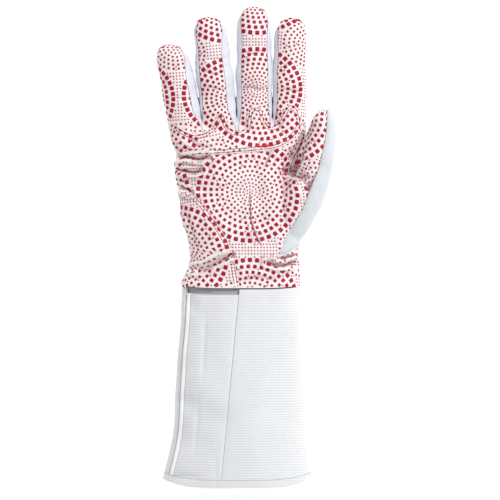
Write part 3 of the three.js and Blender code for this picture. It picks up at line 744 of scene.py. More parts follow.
# Noise on the object's own coordinates
def objectNoise(tree, place, scale, detail, roughness):
    noise = addNode(tree, "ShaderNodeTexNoise", {"Scale": scale, "Detail": detail, "Roughness": roughness})
    link(tree, place, "Object", noise, "Vector")
    return noise


# The look's shade and colour in soft patches
def mottled(tree, look, patches, low=0.0, high=1.0):
    spread = addNode(tree, "ShaderNodeMapRange", {"From Min": low, "From Max": high})
    mix = addNode(tree, "ShaderNodeMix", {6: look["shade"], 7: look["color"]}, data_type="RGBA")
    link(tree, patches, "Fac", spread, "Value")
    link(tree, spread, "Result", mix, 0)
    return mix


def addBump(tree, shader, source, output, strength, distance):
    bump = addNode(tree, "ShaderNodeBump", {"Strength": strength, "Distance": distance})
    link(tree, source, output, bump, "Height")
    link(tree, bump, "Normal", shader, "Normal")


# In both leathers, crease is the colour multiplied into their creases as painted shade, and creaseAt the
# pointiness where it starts
leatherLook = {"color": (0.87, 0.79, 0.80, 1), "shade": (0.77, 0.69, 0.70, 1), "crease": (0.5, 0.36, 0.38, 1),
               "creaseAt": 0.44, "roughness": 0.52, "grain": 0.18}
sideLook = {"color": (0.72, 0.73, 0.80, 1), "shade": (0.62, 0.63, 0.71, 1), "crease": (0.7, 0.7, 0.74, 1),
            "creaseAt": 0.44, "roughness": 0.5, "grain": 0.12}
clothLook = {"color": (0.635, 0.672, 0.695, 1), "shade": (0.59, 0.625, 0.65, 1), "roughness": 0.85,
             "weave": 0.25}
cuffLook = {"color": (0.755, 0.763, 0.78, 1), "shade": (0.715, 0.723, 0.742, 1), "roughness": 0.8,
            "weave": 0.3}
# the binding tape's own white, made brighter than the cuff as a painted highlight on its rolled edge
edgeHighlightLook = {"color": (0.93, 0.935, 0.95, 1), "shade": (0.86, 0.865, 0.89, 1), "roughness": 0.7, "weave": 0.2}
# the elastic's grey, darkened beyond its own colour as painted shade of the recess between hand and cuff
elasticShadeLook = {"color": (0.42, 0.43, 0.46, 1), "shade": (0.30, 0.31, 0.34, 1), "roughness": 0.9, "weave": 0.5}
gripLook = {"color": (0.43, 0.008, 0.034, 1), "shade": (0.27, 0.004, 0.02, 1), "roughness": 0.45}
threadLook = {"color": (0.3, 0.006, 0.02, 1), "roughness": 0.7}
tackLook = {"color": (0.72, 0.02, 0.05, 1), "roughness": 0.6}


# Soft leather with pores; its creases are darkened with painted shade.
def leather(name, look):
    material, tree, shader = nodeMaterial(
        name, {"Roughness": look["roughness"], "Specular IOR Level": 0.4, "Sheen Weight": 0.15})
    place = addNode(tree, "ShaderNodeTexCoord")
    mix = mottled(tree, look, objectNoise(tree, place, 60, 5, 0.55), 0.25, 0.5)
    # painted shade: the colour darkens where the skin curves inwards, in its creases
    bends = addNode(tree, "ShaderNodeNewGeometry")
    creaseShadeMask = addNode(tree, "ShaderNodeMapRange", {"From Min": 0.5, "From Max": look["creaseAt"]})
    paintedCreaseShade = addNode(tree, "ShaderNodeMix", {7: look["crease"]}, data_type="RGBA", blend_type="MULTIPLY")
    link(tree, bends, "Pointiness", creaseShadeMask, "Value")
    link(tree, creaseShadeMask, "Result", paintedCreaseShade, 0)
    link(tree, mix, 2, paintedCreaseShade, 6)
    link(tree, paintedCreaseShade, 2, shader, "Base Color")
    pores = addNode(tree, "ShaderNodeTexVoronoi", {"Scale": 1400}, feature="DISTANCE_TO_EDGE")
    link(tree, place, "Object", pores, "Vector")
    grain = addNode(tree, "ShaderNodeMath", operation="ADD")
    link(tree, pores, "Distance", grain, 0)
    link(tree, objectNoise(tree, place, 500, 6, 0.6), "Fac", grain, 1)
    addBump(tree, shader, grain, 0, look["grain"], 0.0004)
    return material


# A plain weave: two crossed waves whose threads pass over and under, for cloth.
def wovenCloth(name, look, thread=0.00045):
    material, tree, shader = nodeMaterial(
        name, {"Roughness": look["roughness"], "Specular IOR Level": 0.25, "Sheen Weight": 0.25})
    place = addNode(tree, "ShaderNodeTexCoord")
    parts = addNode(tree, "ShaderNodeSeparateXYZ")
    crossed = addNode(tree, "ShaderNodeMath", operation="MULTIPLY")
    link(tree, place, "Object", parts, "Vector")
    for socket, axis in enumerate(("X", "Y")):
        scaled = addNode(tree, "ShaderNodeMath", {1: math.pi / thread}, operation="MULTIPLY")
        sine = addNode(tree, "ShaderNodeMath", operation="SINE")
        link(tree, parts, axis, scaled, 0)
        link(tree, scaled, 0, sine, 0)
        link(tree, sine, 0, crossed, socket)
    mix = mottled(tree, look, objectNoise(tree, place, 45, 4, 0.6), 0.2, 0.5)
    link(tree, mix, 2, shader, "Base Color")
    height = addNode(tree, "ShaderNodeMath", operation="ADD")
    link(tree, crossed, 0, height, 0)
    link(tree, objectNoise(tree, place, 900, 3, 0.7), "Fac", height, 1)
    addBump(tree, shader, height, 0, look["weave"], 0.0002)
    return material


def gripRubber(name, look):
    material, tree, shader = nodeMaterial(name, {"Roughness": look["roughness"], "Specular IOR Level": 0.22})
    patches = objectNoise(tree, addNode(tree, "ShaderNodeTexCoord"), 220, 4, 0.6)
    link(tree, mottled(tree, look, patches), 2, shader, "Base Color")
    addBump(tree, shader, patches, "Fac", 0.12, 0.0003)
    return material


def threadMaterial(name, look):
    material, tree, shader = nodeMaterial(name, {"Base Color": look["color"], "Roughness": look["roughness"]})
    place = addNode(tree, "ShaderNodeTexCoord")
    twist = addNode(tree, "ShaderNodeTexWave", {"Scale": 1500, "Distortion": 1.0}, bands_direction="DIAGONAL")
    link(tree, place, "Object", twist, "Vector")
    addBump(tree, shader, twist, "Fac", 0.4, 0.0001)
    return material


palmLeather = leather("printed_leather", leatherLook)
sideLeather = leather("white_leather", sideLook)
backCloth = wovenCloth("padded_cloth", clothLook)
ribCloth = wovenCloth("ribbed_cloth", cuffLook, 0.0004)
# the binding's brightness is partly painted highlight
edgeHighlightCloth = wovenCloth("binding_tape", edgeHighlightLook, 0.0005)
elasticShadeCloth = wovenCloth("elastic_band", elasticShadeLook, 0.0007)
redGrip = gripRubber("red_grip", gripLook)
redThread = threadMaterial("red_thread", threadLook)
brightThread = threadMaterial("bright_red_thread", tackLook)

# The hand's panels

outer = reliefHand("hand_skin", 0.85, 8)
inner = offsetSkin(outer, "hand_inside", -walls["palm"], -walls["back"], -walls["side"], walls["back"])
print("hand skin", len(outer.data.vertices), round(time.time() - started, 1))

gap = walls["seamGap"]
middleLine = [(y, float(handMid(np.array(float(y))))) for y in (
    -60, 0, 30, 60, 90, 105, 115, 125, 140, 155, 170, 185, 200, 215, 260)]


def overHand(name, offset):
    return crossPrism(name, [(y, z + offset) for y, z in middleLine] + [(260, 120), (-60, 120)])


def wristLine(offset):
    half = (wrist["right"] - wrist["left"]) * hand["width"] / 2
    middle = (wrist["right"] + wrist["left"]) * hand["width"] / 2
    u = np.linspace(-1.3, 1.3, 60)
    return np.stack([middle + half * u, offset + hand["wristBow"] * np.minimum(np.abs(u), 1) ** 4], 1)


# Where the strips between two fingers are cut out: how deep they go below the middle line, how far short
# of the tip they stop, and how far each passes the middle between the fingers, so that the two join
fourchette = {"depth": 5.2, "short": 3.2, "overlap": 0.05}


def fourchetteTools(pair, suffix, grow):
    low, high = fingers[pair[0]], fingers[pair[1]]
    tools = []
    for finger, side in ((low, 1), (high, -1)):
        tipY = finger["reach"] * hand["length"]
        ys = np.linspace(hand["palmLength"] - hand["fingerRoot"] / 2, tipY - fourchette["short"], 30)
        own = np.stack([stripEdge(finger, side, ys) - side * grow, ys], 1)
        between = (fingerCentre(low, ys) + fingerCentre(high, ys)) / 2 + side * fourchette["overlap"]
        plan = prism("plan_" + suffix, np.vstack([own, np.stack([between, ys], 1)[::-1]]), -20, 60)
        lower = []
        for y in ys:
            towardsTip = (y - ys[0]) / (tipY - ys[0])
            deep = (fourchette["depth"] + grow) * math.sqrt(max(1 - towardsTip**6, 0))
            lower.append((y, fingerMid(y) - deep))
        profile = crossPrism("profile_" + suffix, lower + [(ys[-1], 60), (ys[0], 60)])
        tools.append(cutPiece("strip_" + suffix + ("a" if side > 0 else "b"), plan, [("INTERSECT", profile)]))
    return tools


names = list(fingers)
gaps = [(names[i], names[i + 1]) for i in range(3)]
stripTools = {pair: fourchetteTools(pair, "_".join(pair), 0.0) for pair in gaps}
stripHoles = {pair: fourchetteTools(pair, "hole_" + "_".join(pair), gap) for pair in gaps}
thumbBackTool = prism("thumb_back_tool", eastOf(thumbBackLine, 0))
thumbBackHole = prism("thumb_back_hole", eastOf(thumbBackLine, gap))
underProfile = [(-60, -40), (300, -40), (300, 25.6), (139, 25.6), (60, 16.2), (-60, 16.2)]


def underThumb(kind, grow):
    profile = crossPrism("under_profile_" + kind, [(y, z + (grow if z > 0 else 0)) for y, z in underProfile])
    plan = prism("under_plan_" + kind, eastOf(thumbUnderLine, grow))
    return cutPiece("under_" + kind, plan, [("INTERSECT", profile)])


underTool = underThumb("tool", 0)
underHole = underThumb("hole", gap)
crookTool = prism("crook_tool", eastOf(crookLine, 0))
crookHole = prism("crook_hole", eastOf(crookLine, gap))
aboveTool = overHand("above", gap / 2)
belowTool = overHand("below", -gap / 2)
wristTool = prism("wrist_tool", np.vstack([wristLine(0), [[far, 0], [far, far], [-far, far], [-far, 0]]]))

allStripHoles = [("DIFFERENCE", tool) for pair in gaps for tool in stripHoles[pair]]
shell = cutPiece("hand_shell", outer, [("DIFFERENCE", inner), ("INTERSECT", wristTool)])
beside = cutPiece("beside_thumb", shell, [("DIFFERENCE", thumbBackHole), ("DIFFERENCE", underHole)])
print("shell", len(shell.data.polygons), round(time.time() - started, 1))

palmFront = cutPiece(
    "palm_leather", beside, [("INTERSECT", aboveTool), ("DIFFERENCE", crookHole)] + allStripHoles)
handBack = cutPiece("back_of_hand", beside, [("DIFFERENCE", belowTool)] + allStripHoles)
thumbFront = cutPiece("thumb_leather", beside, [("INTERSECT", aboveTool), ("INTERSECT", crookTool)])
thumbTools = cutPiece("thumb_cloth_tool", thumbBackTool, [("UNION", underTool)])
thumbBack = cutPiece("thumb_cloth", shell, [("INTERSECT", thumbTools)])
strips = {}
for pair in gaps:
    a, b = stripTools[pair]
    both = cutPiece("strip_both_" + "_".join(pair), a, [("UNION", b)])
    strips[pair] = cutPiece("side_strip_" + "_".join(pair), shell, [("INTERSECT", both)])
print("panels", round(time.time() - started, 1))

for pieces, material in (((palmFront, thumbFront), palmLeather), ((handBack, thumbBack), backCloth),
                         (strips.values(), sideLeather)):
    for piece in pieces:
        finishPiece(keepLargest(piece), material)

# Patches sewn over the palm: thin shells over the same skin
patch = {"lift": 0.12, "wall": 0.8}
patchOuter = offsetSkin(outer, "patch_outer", patch["lift"] + patch["wall"], 0, patch["lift"] + patch["wall"])
patchInner = offsetSkin(outer, "patch_inner", patch["lift"], -1, patch["lift"])
patchShell = cutPiece("patch_shell", patchOuter, [
    ("DIFFERENCE", patchInner), ("INTERSECT", overHand("patch_above", 5)), ("DIFFERENCE", thumbBackHole),
    ("DIFFERENCE", underHole), ("DIFFERENCE", crookHole)])
yokeTool = prism("yoke_tool", yokeRing)
heelCorners = [[heelLine[-1][0], -far], [-far, -far], [-far, heelLine[0][1]]]
heelTool = prism("heel_tool", np.vstack([heelLine, heelCorners]))
yoke = cutPiece("yoke_leather", patchShell, [("INTERSECT", yokeTool)])
heel = cutPiece("heel_leather", patchShell, [("INTERSECT", heelTool), ("INTERSECT", wristTool)])
for piece in (yoke, heel):
    finishPiece(keepLargest(piece), palmLeather)
print("patches", round(time.time() - started, 1))

# The tools have done their work.
toolNames = ("hand_inside", "hand_shell", "beside_thumb", "patch_", "above", "below", "wrist_tool",
             "thumb_cloth_tool", "plan_", "profile_", "strip_", "thumb_back_", "under_", "crook_",
             "yoke_tool", "heel_tool")
for piece in [piece for piece in bpy.data.objects if piece.name.startswith(toolNames)]:
    bpy.data.objects.remove(piece)


# The cuff

def foldsOnCuff(x, y, width):
    return foldDepth(cuffFolds, x, -y, width, cuff["length"])


# Points of the cuff's skin at shares of its length and angles round it, inset by a wall.
def cuffPoints(at, angle, inset=0.0):
    at, angle = np.broadcast_arrays(np.asarray(at, float), np.asarray(angle, float))
    left, right = cuffSide(at)
    half, middle = (right - left) / 2, (right + left) / 2
    top = hand["depth"] * wrist["top"] * (1 - at) + cuff["mouthDepth"] * at
    wristMid = hand["depth"] * wrist["top"] * wrist["middle"]
    mid = wristMid * (1 - at) + cuff["mouthDepth"] * cuff["mouthMiddle"] * at
    across, rise = squarish(angle, hand["squareness"])
    up = np.where(rise > 0, top - mid - inset, mid * wrist["under"] - inset)
    x = middle + (half - inset) * across
    bow = hand["wristBow"] * np.clip(1 - at * 5, 0, 1) + cuff["mouthBow"] * at**4
    y = -at * cuff["length"] + bow * across**4
    z = mid + up * rise - np.clip(rise, 0, 1) * foldsOnCuff(x, y, right - left)
    return np.stack([x, y, np.maximum(z, inset)], -1)


def angleAt(at, x):
    left, right = cuffSide(at)
    across = np.clip((x - (left + right) / 2) / ((right - left) / 2), -1, 1)
    return np.arccos(signedPower(across, hand["squareness"] / 2))


def ribbed(points, normals, amount, pitch=2.0):
    y = points[..., 1] + 0.12 * np.sin(points[..., 0] * 0.21) + 0.1 * np.sin(points[..., 0] * 0.083 + 1.3)
    phase = np.abs(((y / pitch) % 1.0) - 0.5) * 2
    wave = np.exp(-((1 - phase) / 0.3) ** 2)
    return points - normals * (amount * wave)[..., None]


# Normals of a grid of points, turned away from a middle point.
def gridNormals(points, middle):
    normal = np.cross(np.gradient(points, axis=1), np.gradient(points, axis=0))
    normal /= np.maximum(np.linalg.norm(normal, axis=-1, keepdims=True), 1e-9)
    inward = np.mean(np.sum(normal * (points - middle) * [1, 0, 1], -1)) < 0
    return -normal if inward else normal


def closedPiece(name, vertices, faces, material):
    piece = makeObject(name, vertices, faces, material)
    work = bmesh.new()
    work.from_mesh(piece.data)
    bmesh.ops.recalc_face_normals(work, faces=work.faces)
    work.to_mesh(piece.data)
    work.free()
    piece.data.set_sharp_from_angle(angle=math.radians(50))
    return piece


# A panel of the cuff: a grid from one angle line to another, with its wall and its turned edges.
def cuffPanel(name, topAt, endAt, startAngle, stopAngle, columns, material, ribs, proud=0.0, wall=None):
    wall = walls["cuff"] if wall is None else wall
    reach = (endAt - topAt) * cuff["length"]
    rows = int(reach / 2.0 * 8) if ribs else int(reach / 1.2)
    at = np.linspace(topAt, endAt, max(rows, 4))
    share = np.linspace(0, 1, columns)
    angle = startAngle(at)[:, None] * (1 - share) + stopAngle(at)[:, None] * share
    skin = cuffPoints(at[:, None], angle)
    outward = gridNormals(skin, np.array([-5.0, 0, 22.0]))
    step = np.mean(np.linalg.norm(np.diff(skin[0], axis=0), axis=1))
    edge = np.minimum(share, 1 - share) * step * (columns - 1)
    rounded = 0.55 * np.exp(-(edge / 0.9) ** 2)[None, :, None]
    skin = skin + outward * proud
    skin += outward * (0.16 * waveNoise(skin.reshape(-1, 3), 34, 11).reshape(skin.shape[:2]))[..., None]
    if ribs:
        skin = ribbed(skin, outward, ribs * (1 - 0.9 * np.exp(-(edge / 1.6) ** 2))[None, :])
    skin = skin - outward * rounded
    skin[..., 2] = np.maximum(skin[..., 2], 0.0)
    pick = np.unique(np.append(np.arange(0, len(at), 8 if ribs else 1), len(at) - 1))
    inside = skin[pick] - outward[pick] * (wall - 0.5 * rounded)
    inside[..., 2] = np.maximum(inside[..., 2], wall)
    n, m, c = len(at), len(pick), columns
    vertices = np.vstack([skin.reshape(-1, 3), inside.reshape(-1, 3)])
    faces = [tuple(face) for face in gridFaces(n, c, False)]
    back = [tuple(i + n * c for i in face) for face in gridFaces(m, c, False, flip=True)]
    base = n * c
    for column in (0, c - 1):
        for j in range(m - 1):
            run = [r * c + column for r in range(pick[j], pick[j + 1] + 1)]
            ends = [base + (j + 1) * c + column, base + j * c + column]
            face = run + ends
            back.append(tuple(face[::-1] if column == 0 else face))
    for row, inner in ((0, 0), (n - 1, m - 1)):
        for k in range(c - 1):
            face = (row * c + k, row * c + k + 1, base + inner * c + k + 1, base + inner * c + k)
            back.append(face if row else face[::-1])
    return closedPiece(name, vertices, faces + back, material)


length = cuff["length"]
hemAt = 1 - (cuff["hem"] + gap / 2) / length
topAt = cuff["wristJoint"] / length
lowTopAt = cuff["bandShowing"] / length


def frontSeamX(at):
    return -0.04 * hand["width"] * (1 - at) - 0.165 * cuff["mouthWidth"] * at


def slitX(at, offset):
    return cuffSide(at)[0] + cuff["slitInset"] + offset


# Lines along the cuff, as an angle round it for each share of its length
def slitLine(offset, turn=0.0):
    return lambda at: angleAt(at, slitX(at, offset)) - turn


def frontSeam(offset):
    return lambda at: angleAt(at, frontSeamX(at) + offset)


def rightSide(angle):
    return lambda at: np.full(len(at), angle)


slitEdge = cuff["slitGroove"] / 2
sideSeam = 0.0008  # half the right side seam's clearance, an angle round the cuff
cuffOuter = cuffPanel("cuff_right_panel", topAt, hemAt, rightSide(sideSeam), frontSeam(gap / 2), 44,
                      ribCloth, cuff["rib"])
cuffInner = cuffPanel("cuff_left_panel", lowTopAt, hemAt, frontSeam(-gap / 2),
                      slitLine(slitEdge + cuff["binding"] + 0.2), 34, ribCloth, cuff["rib"])
cuffBack = cuffPanel("cuff_back_panel", topAt, hemAt, slitLine(-slitEdge),
                     rightSide(2 * math.pi - sideSeam), 110, ribCloth, cuff["rib"])
# the slit's binding, its whiteness partly painted highlight
binding = cuffPanel("slit_edging", lowTopAt, hemAt, slitLine(slitEdge + cuff["binding"]),
                    slitLine(slitEdge), 9, edgeHighlightCloth, 0, 0.5, 2.2)
hem = cuffPanel("cuff_hem_band", 1 - (cuff["hem"] - gap / 2) / length, 1.0, slitLine(slitEdge, 2 * math.pi),
                slitLine(-slitEdge), 240, ribCloth, cuff["rib"], 0.15, 2.0)
print("cuff", round(time.time() - started, 1))


# The underlap behind the slit, and the elastic inside the wrist
def innerSheet(name, points, wall, material, closed):
    outward = gridNormals(points, points.reshape(-1, 3).mean(axis=0))
    inside = points - outward * wall
    rows, columns = points.shape[:2]
    vertices = np.vstack([points.reshape(-1, 3), inside.reshape(-1, 3)])
    base = rows * columns
    faces = [tuple(face) for face in gridFaces(rows, columns, closed)]
    faces += [tuple(i + base for i in face) for face in gridFaces(rows, columns, closed, flip=True)]
    count = columns if closed else columns - 1
    for row in (0, rows - 1):
        for k in range(count):
            a, b = row * columns + k, row * columns + (k + 1) % columns
            faces.append((a, b, base + b, base + a))
    if not closed:
        for column in (0, columns - 1):
            for r in range(rows - 1):
                a, b = r * columns + column, (r + 1) * columns + column
                faces.append((a, b, base + b, base + a))
    return closedPiece(name, vertices, faces, material)


at = np.linspace((cuff["bandShowing"] + 10.5) / length, 1 - (cuff["hem"] + 0.5) / length, 110)
share = np.linspace(0, 1, 22)
startAngle = angleAt(at, slitX(at, cuff["underlap"]))
stopAngle = np.pi + 0.25
angle = startAngle[:, None] * (1 - share) + stopAngle * share
underCuff = cuffPoints(at[:, None], angle, walls["cuff"] + 0.5)
underlap = innerSheet("slit_underlap_cloth", underCuff, 1.2, backCloth, False)


def palmInset(y, angle, inset):
    at = y / hand["palmLength"]
    left, right, top = [smoothTable(palmRows, at, column) for column in (1, 2, 3)]
    half, middle = (right - left) * hand["width"] / 2, (right + left) * hand["width"] / 2
    mid = handMid(y)
    across, rise = squarish(angle, hand["squareness"])
    up = np.where(rise > 0, top * hand["depth"] - mid - inset, mid * wrist["under"] - inset)
    x = middle + (half - inset) * across
    bow = hand["wristBow"] * np.clip(1 - at / 0.15, 0, 1)
    yy = y + bow * across**4
    z = mid + up * rise - np.clip(rise, 0, 1) * foldDepth(handFolds, x, yy, hand["width"], hand["palmLength"])
    return np.stack([x, yy, np.maximum(z, inset)], -1)


angle = np.linspace(0, 2 * math.pi, 160, endpoint=False)
ys = np.linspace(9, 0.4, 16)
bandInset = 3.2
upper = palmInset(ys[:, None], angle[None, :], bandInset)
lower = cuffPoints(np.linspace(0, 14 / length, 26)[:, None], angle[None, :], bandInset)
# the elastic's colour carries painted shade of its recess
band = innerSheet("wrist_elastic", np.concatenate([upper, lower]), 1.4, elasticShadeCloth, True)

# Print of grip dots. Its flat place (u, v) is found on the skin by the arc length across each row.
skinTree = BVHTree.FromPolygons(
    [tuple(v.co) for v in outer.data.vertices], [tuple(p.vertices) for p in outer.data.polygons])
down = Vector((0, 0, -1))


def skinHeight(x, y):
    hit = skinTree.ray_cast(Vector(toFrame([x, y, 90])), down)
    return hit[0][2] * 1000 if hit[0] else -1.0


grid = 0.75
gridX = np.arange(-76, 76, grid)
gridY = np.arange(-2, 218, grid)
heights = np.array([[skinHeight(x, y) for x in gridX] for y in gridY])
print("heights", round(time.time() - started, 1))


def heightAt(x, y):
    fx = np.clip((x - gridX[0]) / grid, 0, len(gridX) - 1.001)
    fy = np.clip((y - gridY[0]) / grid, 0, len(gridY) - 1.001)
    i, j = fx.astype(int), fy.astype(int)
    tx, ty = fx - i, fy - j
    a = heights[j, i] * (1 - tx) + heights[j, i + 1] * tx
    b = heights[j + 1, i] * (1 - tx) + heights[j + 1, i + 1] * tx
    return a * (1 - ty) + b * ty


# Arc length tables: one for the palm from its middle, one for each finger and the thumb from their own.
arcStep = 0.25


def arcTable(centreOf, halfReach):
    table = []
    steps = np.arange(0, halfReach + 0.01, arcStep)
    for y in gridY:
        centre = centreOf(y)
        row = []
        for side in (-1, 1):
            x = centre + side * steps
            z = heightAt(x, np.full(len(x), y))
            rise = np.clip(np.abs(np.diff(z)), 0, 1.2)
            row.append(np.concatenate([[0], np.cumsum(np.hypot(arcStep, rise))]))
        table.append(row)
    return np.array(table), steps


def thumbCentre(y):
    dense, along = thumbPath()
    return float(np.interp(y, dense[:, 1], dense[:, 0]))


regions = {"palm": (lambda y: 0.0, 62)}
for name, finger in fingers.items():
    regions[name] = (lambda y, finger=finger: float(fingerCentre(finger, np.array(float(y)))), 15)
regions["thumb"] = (thumbCentre, 19)
arcs = {name: arcTable(*region) for name, region in regions.items()}


# Where a row or a finger's middle line turns down for good: place, arc length and height there.
def steepStart(places, arc, z, step):
    level = np.flatnonzero((np.diff(z) > -0.9 * step) & (z[1:] > 3))
    k = int(level[-1]) if len(level) else 0
    return places[k], arc[k], z[k]


def tipLine(name):
    finger = fingers[name]
    tipY = finger["reach"] * hand["length"]
    ys = np.arange(hand["palmLength"], tipY + 0.2, 0.2)
    z = heightAt(fingerCentre(finger, ys), ys)
    arc = hand["palmLength"] + np.concatenate([[0], np.cumsum(np.hypot(0.2, np.clip(np.diff(z), -0.6, 0.6)))])
    late = ys > tipY - 14
    return ys, arc, steepStart(ys[late], arc[late], z[late], 0.2)


tips = {name: tipLine(name) for name in fingers}
edges = {}
for name, (centreOf, _) in regions.items():
    table, steps = arcs[name]
    for j, y in enumerate(gridY):
        for side in (0, 1):
            x = centreOf(y) + (1 if side else -1) * steps
            edges[name, j, side] = steepStart(steps, table[j][side], heightAt(x, np.full(len(x), y)), arcStep)


# The place on the skin of a point of the flat print, and its direction outwards where the skin is steep.
def placeOnSkin(u, v, region):
    y, drop = v, 0.0
    if region in tips:
        ys, arc, (endY, endArc, endZ) = tips[region]
        y = float(np.interp(v, arc, ys))
        if v > endArc:
            drop = v - endArc
            y = endY + 0.35 * drop
    centreOf, _ = regions[region]
    table, steps = arcs[region]
    j = int(np.clip(round((min(y, 213) - gridY[0]) / grid), 0, len(gridY) - 1))
    centre = centreOf(y)
    side = 0 if u < centre else 1
    sign = 1 if side else -1
    reach = abs(u - centre)
    if drop:
        return (centre + sign * reach * 0.85, y, endZ - drop * 0.9), True
    edge, edgeArc, edgeZ = edges[region, j, side]
    if reach > edgeArc:
        over = reach - edgeArc
        return (centre + sign * (edge + 0.25 * over), y, edgeZ - 0.95 * over), True
    return (centre + sign * float(np.interp(reach, table[j][side], steps)), y, 0.0), False


# The print: discs of squares in rings that widen outwards, on a square lattice, with filler groups in the
# corners between four discs and fine dots where two discs meet
printing = {"pitch": (87.5, 95.0), "radius": 40.0, "first": 2.25, "growth": 0.08, "share": (0.43, 0.18),
            "cornerRadius": 25, "fineSize": 0.5, "finePitch": 2.4, "clear": 0.8, "fineClear": 0.65}
# A raised square: how high it stands, how deep it is sunk, its bevel, the inset of its top, its dome and
# the least area kept
raised = {"height": 0.24, "sunk": 0.25, "bevel": 0.07, "inset": 0.16, "dome": 0.05, "leastArea": 0.12}
# Where a disc's middle lies on each panel, its turn and how far the print is squashed along the glove
printPlaces = {
    "palm": ((3.8, 72.8), 0.0, 0.93), "little": ((-6.8, 148.0), 0.05, 0.8), "ring": ((-4.5, 145.0), 0.1, 0.8),
    "middle": ((9.4, 151.2), 0.0, 0.8), "index": ((3.1, 153.0), -0.1, 0.8), "yoke": ((12.9, 144.0), 0.2, 0.9),
    "heel": ((-53.2, 24.3), 0.1, 0.93), "thumb": ((29.0, 133.0), -0.4, 0.93),
}


# A disc of squares round (0, 0): each is a place, a half width and a turn.
def ringDots(radius, turn, first, growth, share):
    dots = [(0, 0, 0.5 * first * share(0), turn)]
    k = 1
    while (first / growth) * (math.exp(growth * k) - 1) <= radius:
        r = (first / growth) * (math.exp(growth * k) - 1)
        spacing = first + growth * r
        count = max(int(round(2 * math.pi * r / spacing)), 5)
        for i in range(count):
            angle = 2 * math.pi * (i + 0.5 * (k % 2)) / count + turn
            dots.append((r * math.cos(angle), r * math.sin(angle), 0.5 * spacing * share(r), angle))
        k += 1
    return dots


# Adds those dots that keep clear of the ones already there.
def addClear(dots, more, clearance):
    cells = {}

    def keep(dot):
        cells.setdefault((int(dot[0] // 5), int(dot[1] // 5)), []).append(dot)

    for dot in dots:
        keep(dot)
    for dot in more:
        i, j = int(dot[0] // 5), int(dot[1] // 5)
        near = [other for a in (-1, 0, 1) for b in (-1, 0, 1) for other in cells.get((i + a, j + b), ())]
        if all(math.hypot(other[0] - dot[0], other[1] - dot[1]) - other[2] * 1.15 - dot[2] > clearance
               for other in near):
            dots.append(dot)
            keep(dot)
    return dots


def latticeDots(panel, area):
    origin, turn, squash = printPlaces[panel]
    radius = printing["radius"]
    low, rise = printing["share"]
    across, along = printing["pitch"]
    cos, sin = math.cos(turn), math.sin(turn)

    def inArea(dot, margin=0.0):
        return area[0] - margin < dot[0] < area[1] + margin and area[2] - margin < dot[1] < area[3] + margin

    def at(u, v):
        return (origin[0] + cos * u - sin * v, origin[1] + sin * u + cos * v)

    def disc(i, j, reach, extra, first, growth, share):
        return [(*at(u + i * across, (v + j * along) * squash), size, angle + turn)
                for u, v, size, angle in ringDots(reach, extra, first, growth, share)]

    def bigShare(r):
        return low + rise * (r / radius) ** 2

    dots, corners, fine = [], [], []
    for i in range(-2, 3):
        for j in range(-2, 3):
            dots += disc(i, j, radius, 0.0, printing["first"], printing["growth"], bigShare)
            corners += disc(i + 0.5, j + 0.5, printing["cornerRadius"], 0.4, 3.0, 0.05, lambda r: low)
    dots = [dot for dot in dots if inArea(dot, 3)]
    dots = addClear(dots, [dot for dot in corners if inArea(dot, 3)], printing["clear"])
    step = printing["finePitch"]
    reach = int(170 / step)
    for i in range(-reach, reach):
        for j in range(-reach, reach):
            place = at((i + 0.5) * step, (j + 0.5) * step)
            if inArea(place, 3):
                fine.append((*place, printing["fineSize"], turn))
    dots = addClear(dots, fine, printing["fineClear"])
    return [dot for dot in dots if inArea(dot)]


# Clips a polygon by fields given at its corners, keeping where each is positive.
def clipPolygon(points, values):
    for index in range(values.shape[1]):
        kept, keptValues = [], []
        n = len(points)
        for i in range(n):
            a, b = values[i, index], values[(i + 1) % n, index]
            if a > 0:
                kept.append(points[i])
                keptValues.append(values[i])
            if (a > 0) != (b > 0):
                t = a / (a - b)
                kept.append(points[i] + t * (points[(i + 1) % n] - points[i]))
                keptValues.append(values[i] + t * (values[(i + 1) % n] - values[i]))
        if len(kept) < 3:
            return None
        points, values = np.array(kept), np.array(keptValues)
    return points


corner = 0.72
dotShape = [(1, -corner), (1, corner), (corner, 1), (-corner, 1),
            (-1, corner), (-1, -corner), (-corner, -1), (corner, -1)]


def fingerOf(u, v):
    if v < hand["palmLength"] + 1:
        return "palm"
    return min(fingers, key=lambda name: abs(u - fingerCentre(fingers[name], v)))


def dotsPiece(name, dots, regionOf, fields, lift):
    placed = {}  # for each region its squares, each with eight corners, a middle and a half width
    for u, v, size, angle in dots:
        region = regionOf(u, v)
        cos, sin = math.cos(angle), math.sin(angle)
        shape = [((dx * cos - dy * sin) * size, (dx * sin + dy * cos) * size)
                 for dx, dy in [*dotShape, (0, 0)]]
        spots = [placeOnSkin(u + du, v + dv, region) for du, dv in shape]
        flat = np.array([place[:2] for place, steep in spots])
        z = heightAt(flat[:, 0], flat[:, 1])
        if any(steep for place, steep in spots) or np.ptp(z[:8]) > 1.9 * size:
            middle = spots[8][0] if spots[8][1] else [*flat[8], z[8]]
            hit = skinTree.find_nearest(Vector(toFrame(middle)))
            if hit[0] is None:
                continue
            normal = np.array(hit[1])
            ahead = np.array([0, 1.0, 0]) - normal * normal[1]
            if np.linalg.norm(ahead) < 0.3:
                ahead = np.array([0, 0, -1.0]) + normal * normal[2]
            ahead /= np.linalg.norm(ahead)
            across = np.cross(ahead, normal)
            centre = (np.array(hit[0]) - shift) * 1000
            square = [centre + du * across + dv * ahead for du, dv in shape]
        else:
            square = np.column_stack([flat, z])
        placed.setdefault(region, []).append((square, size))
    vertices, faces = [], []
    for region, found in placed.items():
        points = np.array([corners for corners, size in found])
        values = fields(points.reshape(-1, 3), region).reshape(len(found), 9, -1)
        for i, (corners, size) in enumerate(found):
            ring = points[i, :8]
            if ring[:, 2].min() < 1:
                continue
            if values[i].min() < 0:
                ring = clipPolygon(ring, values[i, :8])
            if ring is not None:
                addDot(vertices, faces, ring, points[i, 8], size, lift, values[i, 8].min() > 0)
    piece = makeObject(name, vertices, faces, redGrip)
    piece.data.set_sharp_from_angle(angle=math.radians(35))
    return piece


